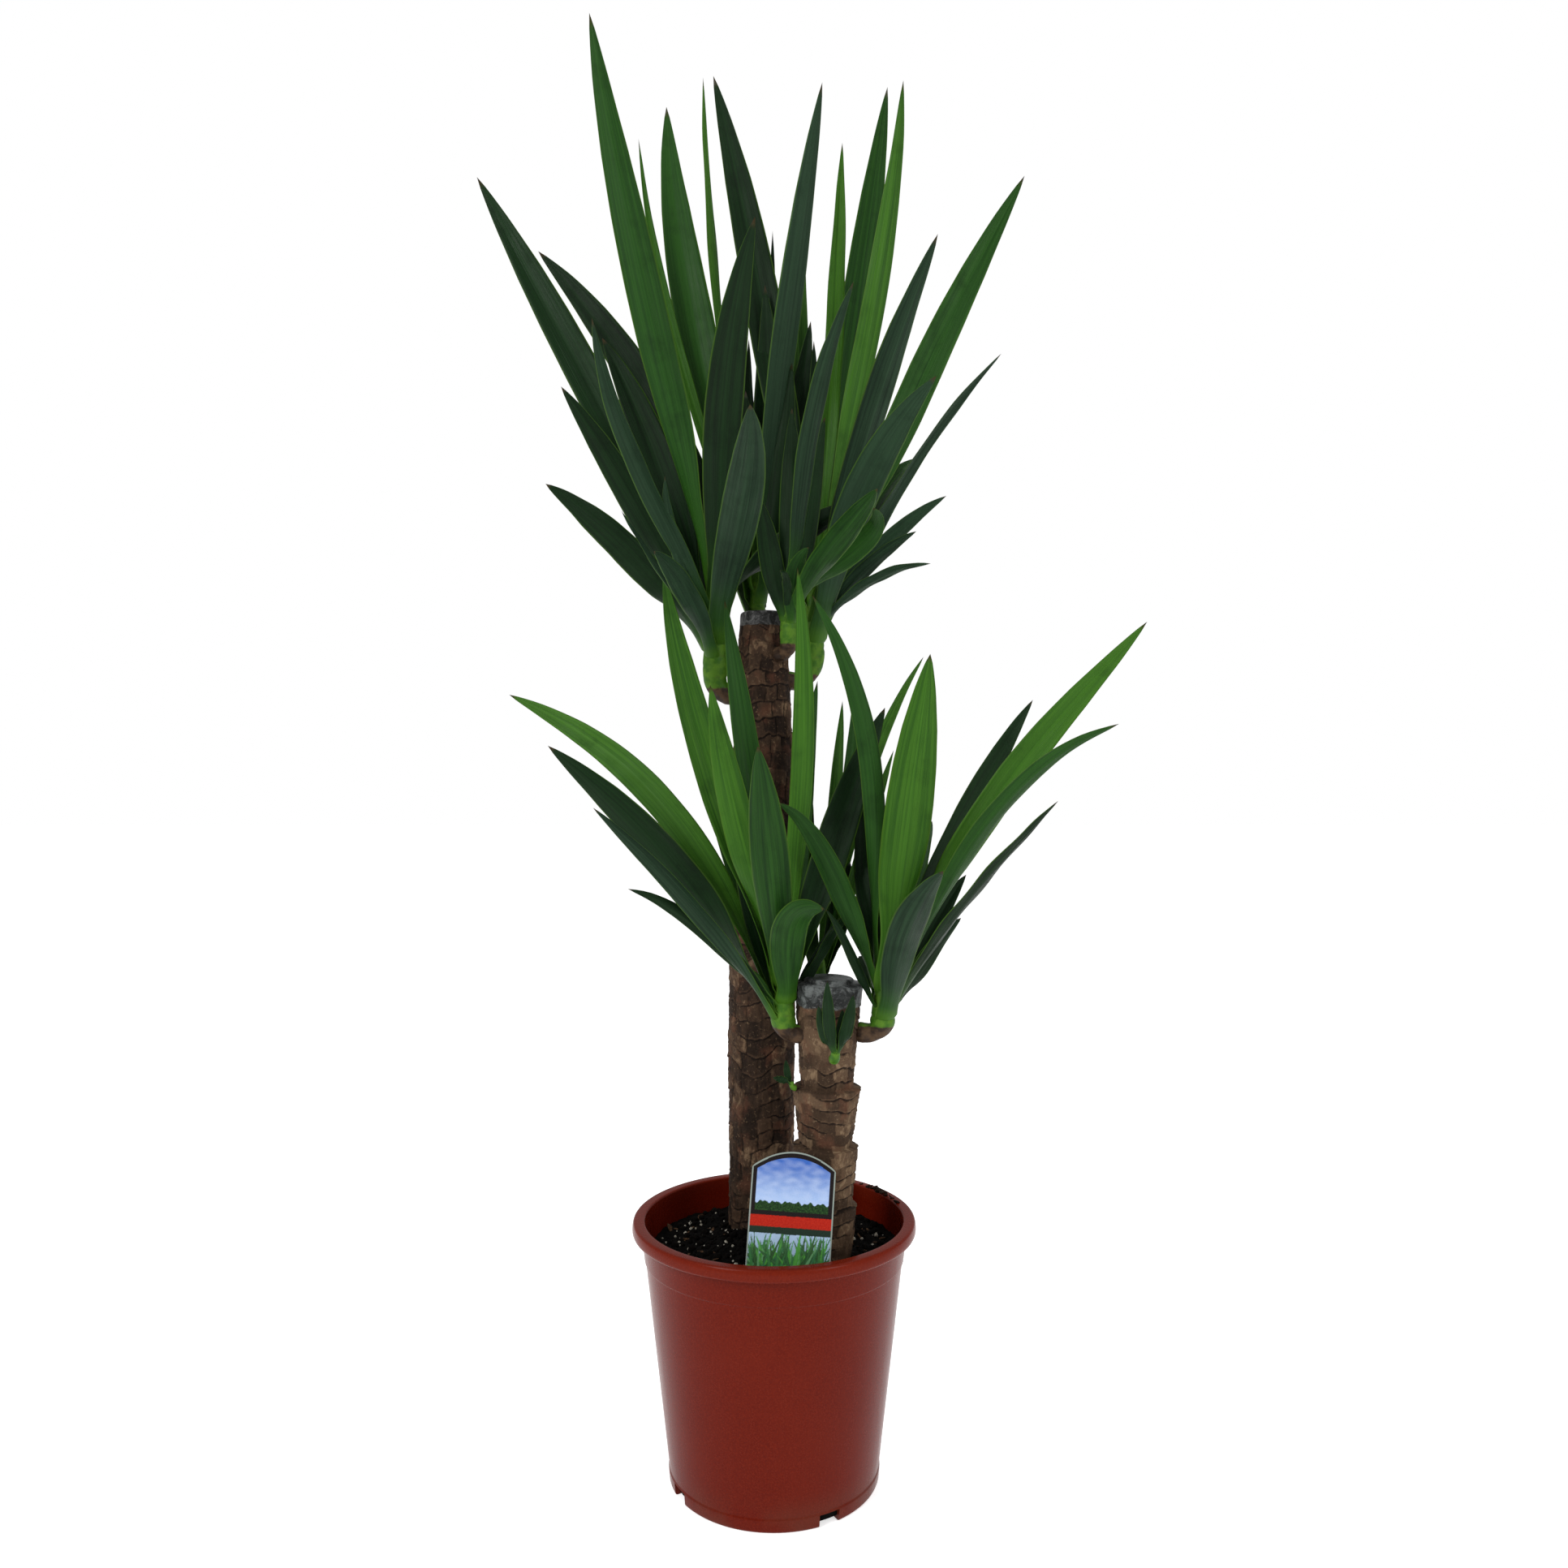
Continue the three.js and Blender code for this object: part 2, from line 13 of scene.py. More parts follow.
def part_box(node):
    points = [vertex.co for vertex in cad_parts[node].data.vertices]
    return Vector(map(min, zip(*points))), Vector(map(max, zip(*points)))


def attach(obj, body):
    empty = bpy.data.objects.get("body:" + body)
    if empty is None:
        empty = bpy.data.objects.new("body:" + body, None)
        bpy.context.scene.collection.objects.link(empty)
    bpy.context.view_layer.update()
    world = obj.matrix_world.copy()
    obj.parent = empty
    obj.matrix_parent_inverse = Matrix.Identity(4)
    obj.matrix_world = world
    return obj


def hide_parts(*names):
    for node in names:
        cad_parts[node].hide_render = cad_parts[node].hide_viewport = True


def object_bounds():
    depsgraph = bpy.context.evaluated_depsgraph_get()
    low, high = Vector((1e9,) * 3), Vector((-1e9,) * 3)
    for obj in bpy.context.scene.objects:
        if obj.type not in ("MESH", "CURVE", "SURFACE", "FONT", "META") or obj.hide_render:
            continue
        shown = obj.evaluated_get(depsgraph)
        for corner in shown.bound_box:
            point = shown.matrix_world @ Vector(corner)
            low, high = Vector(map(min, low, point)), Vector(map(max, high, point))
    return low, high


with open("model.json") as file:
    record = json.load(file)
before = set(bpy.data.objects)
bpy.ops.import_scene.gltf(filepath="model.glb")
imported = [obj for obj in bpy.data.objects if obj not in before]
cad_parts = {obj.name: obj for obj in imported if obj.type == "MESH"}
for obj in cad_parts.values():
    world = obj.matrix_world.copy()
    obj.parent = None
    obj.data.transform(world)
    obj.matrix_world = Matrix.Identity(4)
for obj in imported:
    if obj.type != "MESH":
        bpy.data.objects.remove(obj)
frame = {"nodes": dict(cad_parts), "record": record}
cad_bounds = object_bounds()
nodes = frame["nodes"]

MM = 0.001


# ---------------------------------------------------------------- mesh helpers

def smoothstep(low, high, value):
    share = np.clip((np.asarray(value, float) - low) / (high - low), 0.0, 1.0)
    return share * share * (3 - 2 * share)


def noise_at(x, y, z):
    return noise.noise(Vector((x, y, z)))


def unit(vector):
    length = np.linalg.norm(vector)
    return vector / length if length > 1e-12 else vector


def make_object(name, verts, faces, material, data=None, smooth=True):
    """A mesh object. data maps an attribute name to one vector per vertex."""
    mesh = bpy.data.meshes.new(name)
    mesh.from_pydata([tuple(map(float, v)) for v in verts], [], faces)
    mesh.materials.append(material)
    for key, values in (data or {}).items():
        layer = mesh.attributes.new(key, "FLOAT_VECTOR", "POINT")
        layer.data.foreach_set("vector", np.asarray(values, np.float32).ravel())
    mesh.validate()
    mesh.update()
    if smooth:
        mesh.shade_smooth()
    else:
        mesh.shade_flat()
    item = bpy.data.objects.new(name, mesh)
    bpy.context.scene.collection.objects.link(item)
    return item


def welded(node):
    """The node's corners, with copies at one place merged, and the neighbours of each."""
    bm = bmesh.new()
    bm.from_mesh(nodes[node].data)
    bmesh.ops.remove_doubles(bm, verts=bm.verts, dist=2e-5)
    bm.verts.ensure_lookup_table()
    places = np.array([v.co[:] for v in bm.verts])
    near = [[e.other_vert(v).index for e in v.link_edges] for v in bm.verts]
    bm.free()
    return places, near


def lathe(profile, sides):
    """Corners and faces of a closed turned body, from [radius, z] pairs with both ends on the axis."""
    verts = [(0, 0, profile[0][1])]
    rows = profile[1:-1]
    for radius, z in rows:
        for side in range(sides):
            angle = 2 * math.pi * side / sides
            verts.append((radius * math.cos(angle), radius * math.sin(angle), z))
    verts.append((0, 0, profile[-1][1]))
    last = len(verts) - 1
    faces = []
    for side in range(sides):
        after = (side + 1) % sides
        faces.append((0, 1 + after, 1 + side))
        top = 1 + (len(rows) - 1) * sides
        faces.append((last, top + side, top + after))
        for row in range(len(rows) - 1):
            low = 1 + row * sides
            high = low + sides
            faces.append((low + side, low + after, high + after, high + side))
    return verts, faces


def rounded(points, radius, steps):
    """The same profile with its inner corners rounded, where a radius is given for the corner."""
    out = [points[0]]
    for index in range(1, len(points) - 1):
        size = radius.get(index, 0)
        before, here, after = (np.array(points[index + d], float) for d in (-1, 0, 1))
        if not size:
            out.append(tuple(here))
            continue
        start = here + unit(before - here) * size
        end = here + unit(after - here) * size
        for step in range(steps + 1):
            t = step / steps
            out.append(tuple((1 - t) ** 2 * start + 2 * t * (1 - t) * here + t * t * end))
    out.append(points[-1])
    return out


# ---------------------------------------------------------------- material helpers

class Nodes:
    """Short calls for building a node tree."""

    def __init__(self, name):
        self.material = bpy.data.materials.new(name)
        self.material.use_nodes = True
        self.tree = self.material.node_tree
        self.shader = self.tree.nodes["Principled BSDF"]

    def new(self, kind, inputs=None, **settings):
        node = self.tree.nodes.new(kind)
        for key, value in settings.items():
            setattr(node, key, value)
        for key, value in (inputs or {}).items():
            self.put(value, node.inputs[key])
        return node

    def put(self, value, socket):
        if isinstance(value, bpy.types.NodeSocket):
            self.tree.links.new(value, socket)
        elif isinstance(value, tuple) and socket.type == "RGBA" and len(value) == 3:
            socket.default_value = (*value, 1)
        else:
            socket.default_value = value

    def math(self, operation, a, b=0.0):
        return self.new("ShaderNodeMath", {0: a, 1: b}, operation=operation).outputs[0]

    def times(self, a, b):
        return self.math("MULTIPLY", a, b)

    def plus(self, a, b):
        return self.math("ADD", a, b)

    def tint(self, color, mask, amount, paint):
        """The colour with paint laid over it where the mask is high, by the amount at most."""
        return self.mix(self.times(mask, amount), color, paint)

    def stretched(self, place, z_scale):
        return self.new("ShaderNodeMapping", {"Vector": place, "Scale": (1, 1, z_scale)}).outputs[0]

    def mix(self, share, a, b, blend="MIX"):
        node = self.new("ShaderNodeMix", data_type="RGBA", blend_type=blend)
        self.put(share, node.inputs[0])
        self.put(a, node.inputs[6])
        self.put(b, node.inputs[7])
        return node.outputs[2]

    def band(self, value, low, high, to_low=0.0, to_high=1.0):
        node = self.new("ShaderNodeMapRange", {0: value, 1: low, 2: high, 3: to_low, 4: to_high},
                        interpolation_type="SMOOTHSTEP")
        return node.outputs[0]

    def noise(self, vector, scale, detail=3.0, rough=0.55, distortion=0.0):
        node = self.new("ShaderNodeTexNoise", {
            "Vector": vector, "Scale": scale, "Detail": detail,
            "Roughness": rough, "Distortion": distortion})
        return node.outputs[0]

    def attribute(self, name):
        node = self.new("ShaderNodeAttribute", attribute_name=name)
        split = self.new("ShaderNodeSeparateXYZ", {0: node.outputs["Vector"]})
        return split.outputs

    def combine(self, x, y, z):
        return self.new("ShaderNodeCombineXYZ", {0: x, 1: y, 2: z}).outputs[0]

    def place(self):
        return self.new("ShaderNodeTexCoord").outputs["Object"]

    def finish(self, color, roughness, height=None, strength=0.3, distance=0.001, **settings):
        self.put(color, self.shader.inputs["Base Color"])
        self.put(roughness, self.shader.inputs["Roughness"])
        if height is not None:
            bump = self.new("ShaderNodeBump", {
                "Height": height, "Strength": strength, "Distance": distance})
            self.put(bump.outputs[0], self.shader.inputs["Normal"])
        for key, value in settings.items():
            self.shader.inputs[key.replace("_", " ")].default_value = value
        return self.material


def leaf_material(tone, low, high, rough):
    """Streaks and fine veins along the leaf, a painted highlight along the leaf's edges, a yellow-green foot
    and a dry tip.
    """
    n = Nodes(f"leaf_{tone}")
    run, side, own = n.attribute("leafmap")
    shift = n.times(own, 41.0)
    streak = n.noise(n.combine(n.times(side, 5.0), n.times(run, 2.2), shift), 1.0)
    vein = n.noise(n.combine(n.times(side, 26.0), n.times(run, 3.0), shift), 1.0, 2.0)
    cloud = n.noise(n.place(), 38.0, 4.0, 0.6)
    shade = n.plus(n.times(streak, 0.62), n.times(vein, 0.38))
    color = n.mix(n.band(shade, 0.32, 0.68), low, high)
    lighter = tuple(1.55 * c + 0.003 for c in high)
    darker = tuple(0.5 * c for c in low)
    color = n.tint(color, n.band(own, 0.0, 1.0), 0.3, lighter)
    color = n.tint(color, n.band(cloud, 0.52, 0.75), 0.35, darker)
    midrib = n.times(n.band(n.math("ABSOLUTE", side), 0.1, 0.0), 0.22)
    color = n.mix(midrib, color, lighter)
    foot = n.band(n.plus(run, n.times(streak, 0.1)), 0.3, 0.06)
    color = n.tint(color, foot, 0.5, (0.026, 0.100, 0.005))
    pale = n.band(n.plus(run, n.times(vein, 0.04)), 0.1, 0.02)
    color = n.tint(color, pale, 0.5, (0.060, 0.155, 0.009))
    # Painted highlight: a thin lighter line along both edges of the leaf.
    edge_highlight = n.band(n.math("ABSOLUTE", side), 0.9, 0.985)
    color = n.tint(color, edge_highlight, 0.5, (0.065, 0.14, 0.012))
    dry = n.band(n.plus(run, n.times(vein, 0.03)), 0.985, 1.01)
    color = n.tint(color, dry, 0.8, (0.05, 0.03, 0.012))
    gloss = n.band(cloud, 0.3, 0.7, rough - 0.06, rough + 0.1)
    return n.finish(color, gloss, n.plus(vein, n.times(streak, 0.5)),
                    0.45, 0.0007, Specular_IOR_Level=0.10)


def stem_material():
    """Brown and corky where the shoot leaves the cane, green with sheath scars above."""
    n = Nodes("stem_green")
    _, side, own = n.attribute("stemmap")
    cloud = n.noise(n.place(), 160.0, 4.0)
    fine = n.noise(n.place(), 700.0, 2.0)
    color = n.mix(n.band(cloud, 0.35, 0.65), (0.028, 0.095, 0.005), (0.070, 0.160, 0.012))
    scar = n.times(n.band(side, 0.35, 0.9), 0.35)
    color = n.mix(scar, color, (0.05, 0.08, 0.015))
    bark = n.mix(n.band(cloud, 0.35, 0.65), (0.022, 0.012, 0.007), (0.075, 0.043, 0.023))
    woody = n.band(n.plus(own, n.times(cloud, 0.5)), 0.75, 0.45)
    color = n.mix(woody, color, bark)
    return n.finish(color, n.band(cloud, 0.3, 0.7, 0.45, 0.7),
                    n.plus(cloud, n.times(fine, 0.4)), 0.4, 0.0008,
                    Specular_IOR_Level=0.15)


def bark_material(name, dark, middle, pale, wax):
    """Plates with cracks darkened by painted shade, pale worn patches, ring scars with a painted highlight,
    painted shade in the hollows of the level cracks, and a waxed cut at the top.
    """
    n = Nodes(name)
    crack, plate, ring = n.attribute("barkmap")
    waxed, _, hollow_shade = n.attribute("wax_and_shade_map")
    place = n.place()
    fine = n.noise(place, 420.0, 5.0, 0.65)
    grain = n.noise(n.stretched(place, 0.22), 330.0, 4.0, 0.6)
    cloud = n.noise(place, 55.0, 4.0, 0.6)
    patch = n.noise(n.stretched(place, 0.6), 130.0, 4.0, 0.65, 0.5)
    mixed = n.plus(n.times(plate, 0.3), n.times(grain, 0.3))
    mixed = n.plus(mixed, n.times(patch, 0.4))
    color = n.mix(n.band(mixed, 0.34, 0.64), dark, middle)
    worn = n.times(n.band(plate, 0.35, 0.95), n.band(patch, 0.5, 0.66))
    color = n.tint(color, worn, 0.8, pale)
    fleck = n.band(fine, 0.56, 0.72)
    color = n.tint(color, fleck, 0.55, pale)
    rust = n.times(n.band(cloud, 0.5, 0.7), 0.4)
    color = n.mix(rust, color, (0.13, 0.05, 0.028))
    # Painted highlight: the raised ring above each row of plates is painted lighter.
    lit = n.times(n.band(ring, 0.25, 0.9), 0.4)
    color = n.mix(lit, color, tuple(1.5 * c for c in middle))
    # Painted shade: the hollows of the level cracks are darkened a second time.
    color = n.tint(color, n.band(hollow_shade, 0.2, 0.9), 0.5, (0.014, 0.008, 0.006))
    # Painted shade: the cracks and fibre grooves are darkened to near black.
    color = n.tint(color, n.band(crack, 0.2, 0.95), 0.85, (0.008, 0.005, 0.0035))
    marble = n.noise(place, 95.0, 5.0, 0.7, 0.8)
    skin = n.mix(n.band(marble, 0.42, 0.62), tuple(0.16 * c for c in wax), wax)
    skin = n.tint(skin, n.band(fine, 0.55, 0.8), 0.4, (0.38, 0.38, 0.37))
    edge = n.band(n.plus(waxed, n.times(cloud, 0.9)), 0.82, 1.0)
    color = n.mix(edge, color, skin)
    rough = n.new("ShaderNodeMix", {0: edge, 2: 0.82, 3: 0.36}, data_type="FLOAT").outputs[0]
    height = n.plus(fine, n.times(grain, 0.7))
    return n.finish(color, rough, height, 0.8, 0.0012, Specular_IOR_Level=0.10)


def pot_material():
    """Moulded plastic with a fine mottle, faint drag lines, dust low down, and a painted highlight on the
    rim.
    """
    n = Nodes("pot_plastic")
    place = n.place()
    mottle = n.noise(place, 900.0, 2.0, 0.6)
    cloud = n.noise(place, 16.0, 3.0)
    drag = n.noise(n.stretched(place, 0.03), 260.0, 2.0)
    color = n.mix(n.band(mottle, 0.3, 0.7), (0.090, 0.0050, 0.0012), (0.122, 0.0088, 0.0022))
    color = n.tint(color, n.band(cloud, 0.4, 0.7), 0.3, (0.125, 0.010, 0.0030))
    height = n.new("ShaderNodeSeparateXYZ", {0: place}).outputs[2]
    dust = n.times(n.band(height, 0.03, 0.0), n.band(cloud, 0.35, 0.6))
    color = n.tint(color, dust, 0.4, (0.10, 0.04, 0.025))
    # Painted highlight: the lip is painted evenly lighter all round.
    rim = n.times(n.band(height, 0.179, 0.188), 0.3)
    color = n.mix(rim, color, (0.165, 0.018, 0.007))
    gloss = n.band(n.plus(n.times(mottle, 0.5), n.times(drag, 0.5)),
                   0.3, 0.7, 0.20, 0.30)
    bump = n.plus(n.times(mottle, 0.5), n.times(drag, 0.12))
    return n.finish(color, gloss, bump, 0.06, 0.0004, Specular_IOR_Level=0.07)


def soil_material(name, dark, pale):
    n = Nodes(name)
    place = n.place()
    fine = n.noise(place, 620.0, 5.0, 0.7)
    cloud = n.noise(place, 90.0, 4.0, 0.6)
    color = n.mix(n.band(fine, 0.4, 0.72), dark, pale)
    color = n.tint(color, n.band(cloud, 0.5, 0.7), 0.5, tuple(0.4 * c for c in dark))
    return n.finish(color, n.band(cloud, 0.3, 0.7, 0.8, 0.97), fine, 0.8, 0.0015,
                    Specular_IOR_Level=0.06)


def label_material():
    """Printed card: the picture is in the mesh, with a faint paper grain over it."""
    n = Nodes("label_card")
    ink = n.new("ShaderNodeAttribute", attribute_name="ink").outputs["Vector"]
    grain = n.noise(n.place(), 1500.0, 2.0)
    color = n.mix(0.5, ink, n.mix(grain, (0.6, 0.6, 0.6), (1.0, 1.0, 1.0)), "MULTIPLY")
    return n.finish(color, n.band(grain, 0.3, 0.7, 0.25, 0.33), grain, 0.05, 0.0002,
                    Specular_IOR_Level=0.10)


# The leaf tones, each as its darker and its lighter streak. They are partly the leaves' own colour and
# partly painted light: the dark tone is painted shade for leaves at the back and inside the crown, the
# bright tone painted light for the lit leaves at the top.
leaf_materials = {
    "bright": leaf_material("bright", (0.009, 0.045, 0.003), (0.036, 0.112, 0.008), 0.40),
    "middle": leaf_material("middle", (0.003, 0.021, 0.002), (0.014, 0.056, 0.006), 0.42),
    "grey": leaf_material("grey", (0.004, 0.014, 0.006), (0.015, 0.038, 0.017), 0.46),
    "dark": leaf_material("dark", (0.0012, 0.007, 0.0014), (0.0045, 0.020, 0.004), 0.42),
}
stem_surface = stem_material()


# ---------------------------------------------------------------- leaves

LEAF_STEPS = 40
LEAF_COLUMNS = 10
LEAF_MIDDLE_MM = 1.1
LEAF_EDGE_MM = 0.35
LEAF_THINNING_MM = 0.5
LEAF_POINT_POWER = 0.78
LEAF_FOOT_SHARE = 0.33
LEAF_FOOT_END = 0.2
LEAF_FOOT_FOLD = 0.42
SHEATH_MM = 19.0
SHEATH_LEAN = 0.30


def leaf_frames(node):
    """Centre, across, face, half width and fold of each ring of a CAD leaf, then its point."""
    places, near = welded(node)
    for start in range(len(places)):
        levels = [[start]]
        seen = {start}
        while True:
            after = sorted({b for a in levels[-1] for b in near[a]} - seen)
            if not after:
                break
            levels.append(after)
            seen.update(after)
        if len(levels) > 3 and all(len(level) == 4 for level in levels[1:]):
            break
    else:
        raise ValueError(f"{node} has no rings")
    rows = []
    across_before = None
    for level in levels[1:]:
        ring = places[level]
        spans = [(np.linalg.norm(ring[a] - ring[b]), a, b) for a in range(4) for b in range(a)]
        _, left, right = max(spans)
        valley, keel = (k for k in range(4) if k not in (left, right))
        middle = (ring[left] + ring[right]) / 2
        if np.linalg.norm(ring[keel] - middle) < np.linalg.norm(ring[valley] - middle):
            valley, keel = keel, valley
        centre = (ring[valley] + ring[keel]) / 2
        face = unit(ring[valley] - ring[keel])
        if rows and np.dot(face, rows[-1][2]) < 0:
            face = -face
        across = ring[right] - ring[left]
        half = np.linalg.norm(across) / 2
        across = unit(across)
        if across_before is not None and np.dot(across, across_before) < 0:
            across = -across
        across_before = across
        fold = max(0.0, float(np.dot(middle - centre, face)))
        rows.append((centre, across, face, half, fold))
    rows.reverse()
    return rows, places[start]


def spline(points, at):
    """Catmull-Rom through the points, at a place from 0 to the last point's number."""
    points = np.asarray(points, float)
    low = np.clip(np.floor(at).astype(int), 0, len(points) - 2)
    t = (at - low)[:, None]
    p1, p2 = points[low], points[low + 1]
    p0 = np.where((low > 0)[:, None], points[np.maximum(low - 1, 0)], 2 * p1 - p2)
    p3 = np.where((low < len(points) - 2)[:, None],
                  points[np.minimum(low + 2, len(points) - 1)], 2 * p2 - p1)
    return 0.5 * (2 * p1 + (p2 - p0) * t + (2 * p0 - 5 * p1 + 4 * p2 - p3) * t ** 2
                  + (3 * p1 - p0 - 3 * p2 + p3) * t ** 3)


def blade(rows, point, seed, steps=LEAF_STEPS, sheath=SHEATH_MM):
    """A thin closed blade through the rings: corners, faces and the leafmap of each corner."""
    rng = random.Random(seed)
    count = len(rows)
    run = np.linspace(0, 1, steps + 1)
    at = run * count
    centres = spline([r[0] for r in rows] + [point], at)
    inside = np.minimum(at, count - 1)
    across = spline([r[1] for r in rows], inside)
    faces_way = spline([r[2] for r in rows], inside)
    half = np.interp(at, range(count), [r[3] for r in rows])
    fold = np.interp(at, range(count), [r[4] for r in rows])
    final = rows[-1][3] * (np.maximum(count - at, 0)) ** LEAF_POINT_POWER
    half = np.where(at > count - 1, final, half)
    fold = np.where(at > count - 1, rows[-1][4] * (count - at), fold)
    foot_half = max(half[0], LEAF_FOOT_SHARE * max(r[3] for r in rows) * 2)
    blend = 1 - smoothstep(0.0, LEAF_FOOT_END, run)
    half = half + blend * np.maximum(foot_half - half, 0)
    fold = fold + blend * foot_half * LEAF_FOOT_FOLD
    if sheath:
        down = unit(rows[0][0] - rows[1][0])
        lean_in = rows[0][2] * SHEATH_LEAN
        extra = [0.85, 0.5, 0.22]
        tail = [centres[0] + (down * 0.9 + lean_in) * sheath * MM * e for e in extra]
        centres = np.vstack([tail, centres])
        across = np.vstack([[across[0]] * len(extra), across])
        faces_way = np.vstack([[faces_way[0]] * len(extra), faces_way])
        half = np.concatenate([[half[0] * s for s in (0.40, 0.70, 0.92)], half])
        fold = np.concatenate([[fold[0] * s for s in (0.35, 0.75, 0.95)], fold])
        run = np.concatenate([np.zeros(len(extra)), run])
    waves = rng.uniform(0.35, 0.9) * MM
    pitch = rng.uniform(2.2, 4.5)
    phases = [rng.uniform(0, 2 * math.pi) for _ in range(4)]
    own = rng.random()
    sides = np.linspace(-1, 1, LEAF_COLUMNS + 1)
    verts, data = [], []
    for i in range(len(run) - 1):
        along = unit(centres[i + 1] - centres[max(i - 1, 0)])
        a = unit(across[i] - along * np.dot(across[i], along))
        f = unit(faces_way[i] - along * np.dot(faces_way[i], along) - a * np.dot(faces_way[i], a))
        calm = float(smoothstep(0.08, 0.3, run[i]) * (1 - smoothstep(0.85, 1.0, run[i])))
        bow = 1.9 - 0.7 * float(smoothstep(0.0, 0.25, run[i]))
        thick = (LEAF_MIDDLE_MM - LEAF_THINNING_MM * run[i]) * MM
        for layer in (1, -1):
            for s in sides:
                edge = abs(s)
                wave = waves * calm * edge ** 2 * math.sin(
                    2 * math.pi * pitch * run[i] + phases[0 if s < 0 else 1])
                ripple = 0.25 * MM * calm * math.sin(9 * s + phases[2]) * math.sin(
                    11 * run[i] + phases[3])
                body = thick * (1 - edge ** 4) + LEAF_EDGE_MM * MM * edge ** 4
                rise = fold[i] * edge ** bow + wave + ripple + layer * body / 2
                verts.append(centres[i] + a * half[i] * s + f * rise)
                data.append((run[i], s, own))
    wide = len(sides)
    ring = 2 * wide
    order = list(range(wide)) + list(range(ring - 1, wide - 1, -1))
    faces = []
    last = len(run) - 2
    for i in range(last):
        for k in range(ring):
            p, q = order[k], order[(k + 1) % ring]
            faces.append((i * ring + p, i * ring + q, (i + 1) * ring + q, (i + 1) * ring + p))
    faces.append(tuple(order[::-1]))
    verts.append(np.asarray(point, float))
    data.append((1.0, 0.0, own))
    for k in range(ring):
        faces.append((last * ring + order[k], last * ring + order[(k + 1) % ring], len(verts) - 1))
    edge_a = verts[order[1]] - verts[order[0]]
    edge_b = verts[ring + order[0]] - verts[order[0]]
    normal = np.cross(edge_a, edge_b)
    if np.dot(normal, faces_way[0]) < 0:
        faces = [tuple(reversed(face)) for face in faces]
    return verts, faces, data


slot_of_node = {row["node"]: row["material_slot"] for row in frame["record"]["subparts"]}

leaf_nodes = sorted(name for name in nodes if name.startswith("leaf_"))
for number, node in enumerate(leaf_nodes):
    rings, tip = leaf_frames(node)
    slot = slot_of_node[node]
    verts, faces, data = blade(rings, tip, 100 + number)
    piece = make_object(f"fine_{node}", verts, faces, leaf_materials[slot.split("_")[1]],
                        {"leafmap": data})
    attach(piece, "root")
    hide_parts(node)


# ---------------------------------------------------------------- small leaves

SMALL_LEAF_RINGS = 9
SMALL_LEAF_STEPS = 26
SMALL_SHEATH_MM = 8.0
LEAF_SEAT_MM = 6.5
BACK_MARGIN_MM = 4


def crown_top(shoot):
    """The middle of the shoot's flat top."""
    places, _ = welded(f"shoot_{shoot}")
    high = places[:, 2].max()
    return places[places[:, 2] > high - 1e-4].mean(axis=0)


def bezier(a, b, c, d, count):
    t = np.linspace(0, 1, count + 1)[:, None]
    return ((1 - t) ** 3 * a + 3 * t * (1 - t) ** 2 * b + 3 * t * t * (1 - t) * c + t ** 3 * d)


def free_leaf(foot, tip, width, arch, sway, turn, splay):
    """Rings of a small leaf from its foot to its point, facing the front. Everything in metres."""
    foot, tip = np.asarray(foot, float), np.asarray(tip, float)
    out = unit(np.array([tip[0] - foot[0], tip[1] - foot[1], 0]))
    length = np.linalg.norm(tip - foot)
    first = foot + unit(np.array([0, 0, 1]) + splay * out) * 0.22 * length
    second = (first + tip) / 2 + np.array([sway, 0, arch])
    line = bezier(foot, first, second, tip, SMALL_LEAF_RINGS)
    rings = []
    for k in range(SMALL_LEAF_RINGS):
        share = k / SMALL_LEAF_RINGS
        along = unit(line[k + 1] - line[max(k - 1, 0)])
        front = unit(np.array([0, -1, 0]) + along * along[1])
        clasp = unit(-out + along * np.dot(out, along))
        if np.dot(front, clasp) < 0:
            front = -front
        way = float(smoothstep(0.1, 0.45, share))
        face = unit(clasp * (1 - way) + front * way)
        if turn:
            angle = math.radians(turn) * way
            face = unit(face * math.cos(angle) + np.cross(along, face) * math.sin(angle))
        if share < 0.5:
            outline = 0.34 + 0.66 * math.sin(math.pi * share)
        else:
            outline = (1 - ((share - 0.5) * 2) ** 2) ** 0.85
        half = width / 2 * outline
        fold = 0.32 * half * float(smoothstep(0, 0.3, share))
        rings.append((line[k], np.cross(along, face), face, half, fold))
    return rings, line[-1]
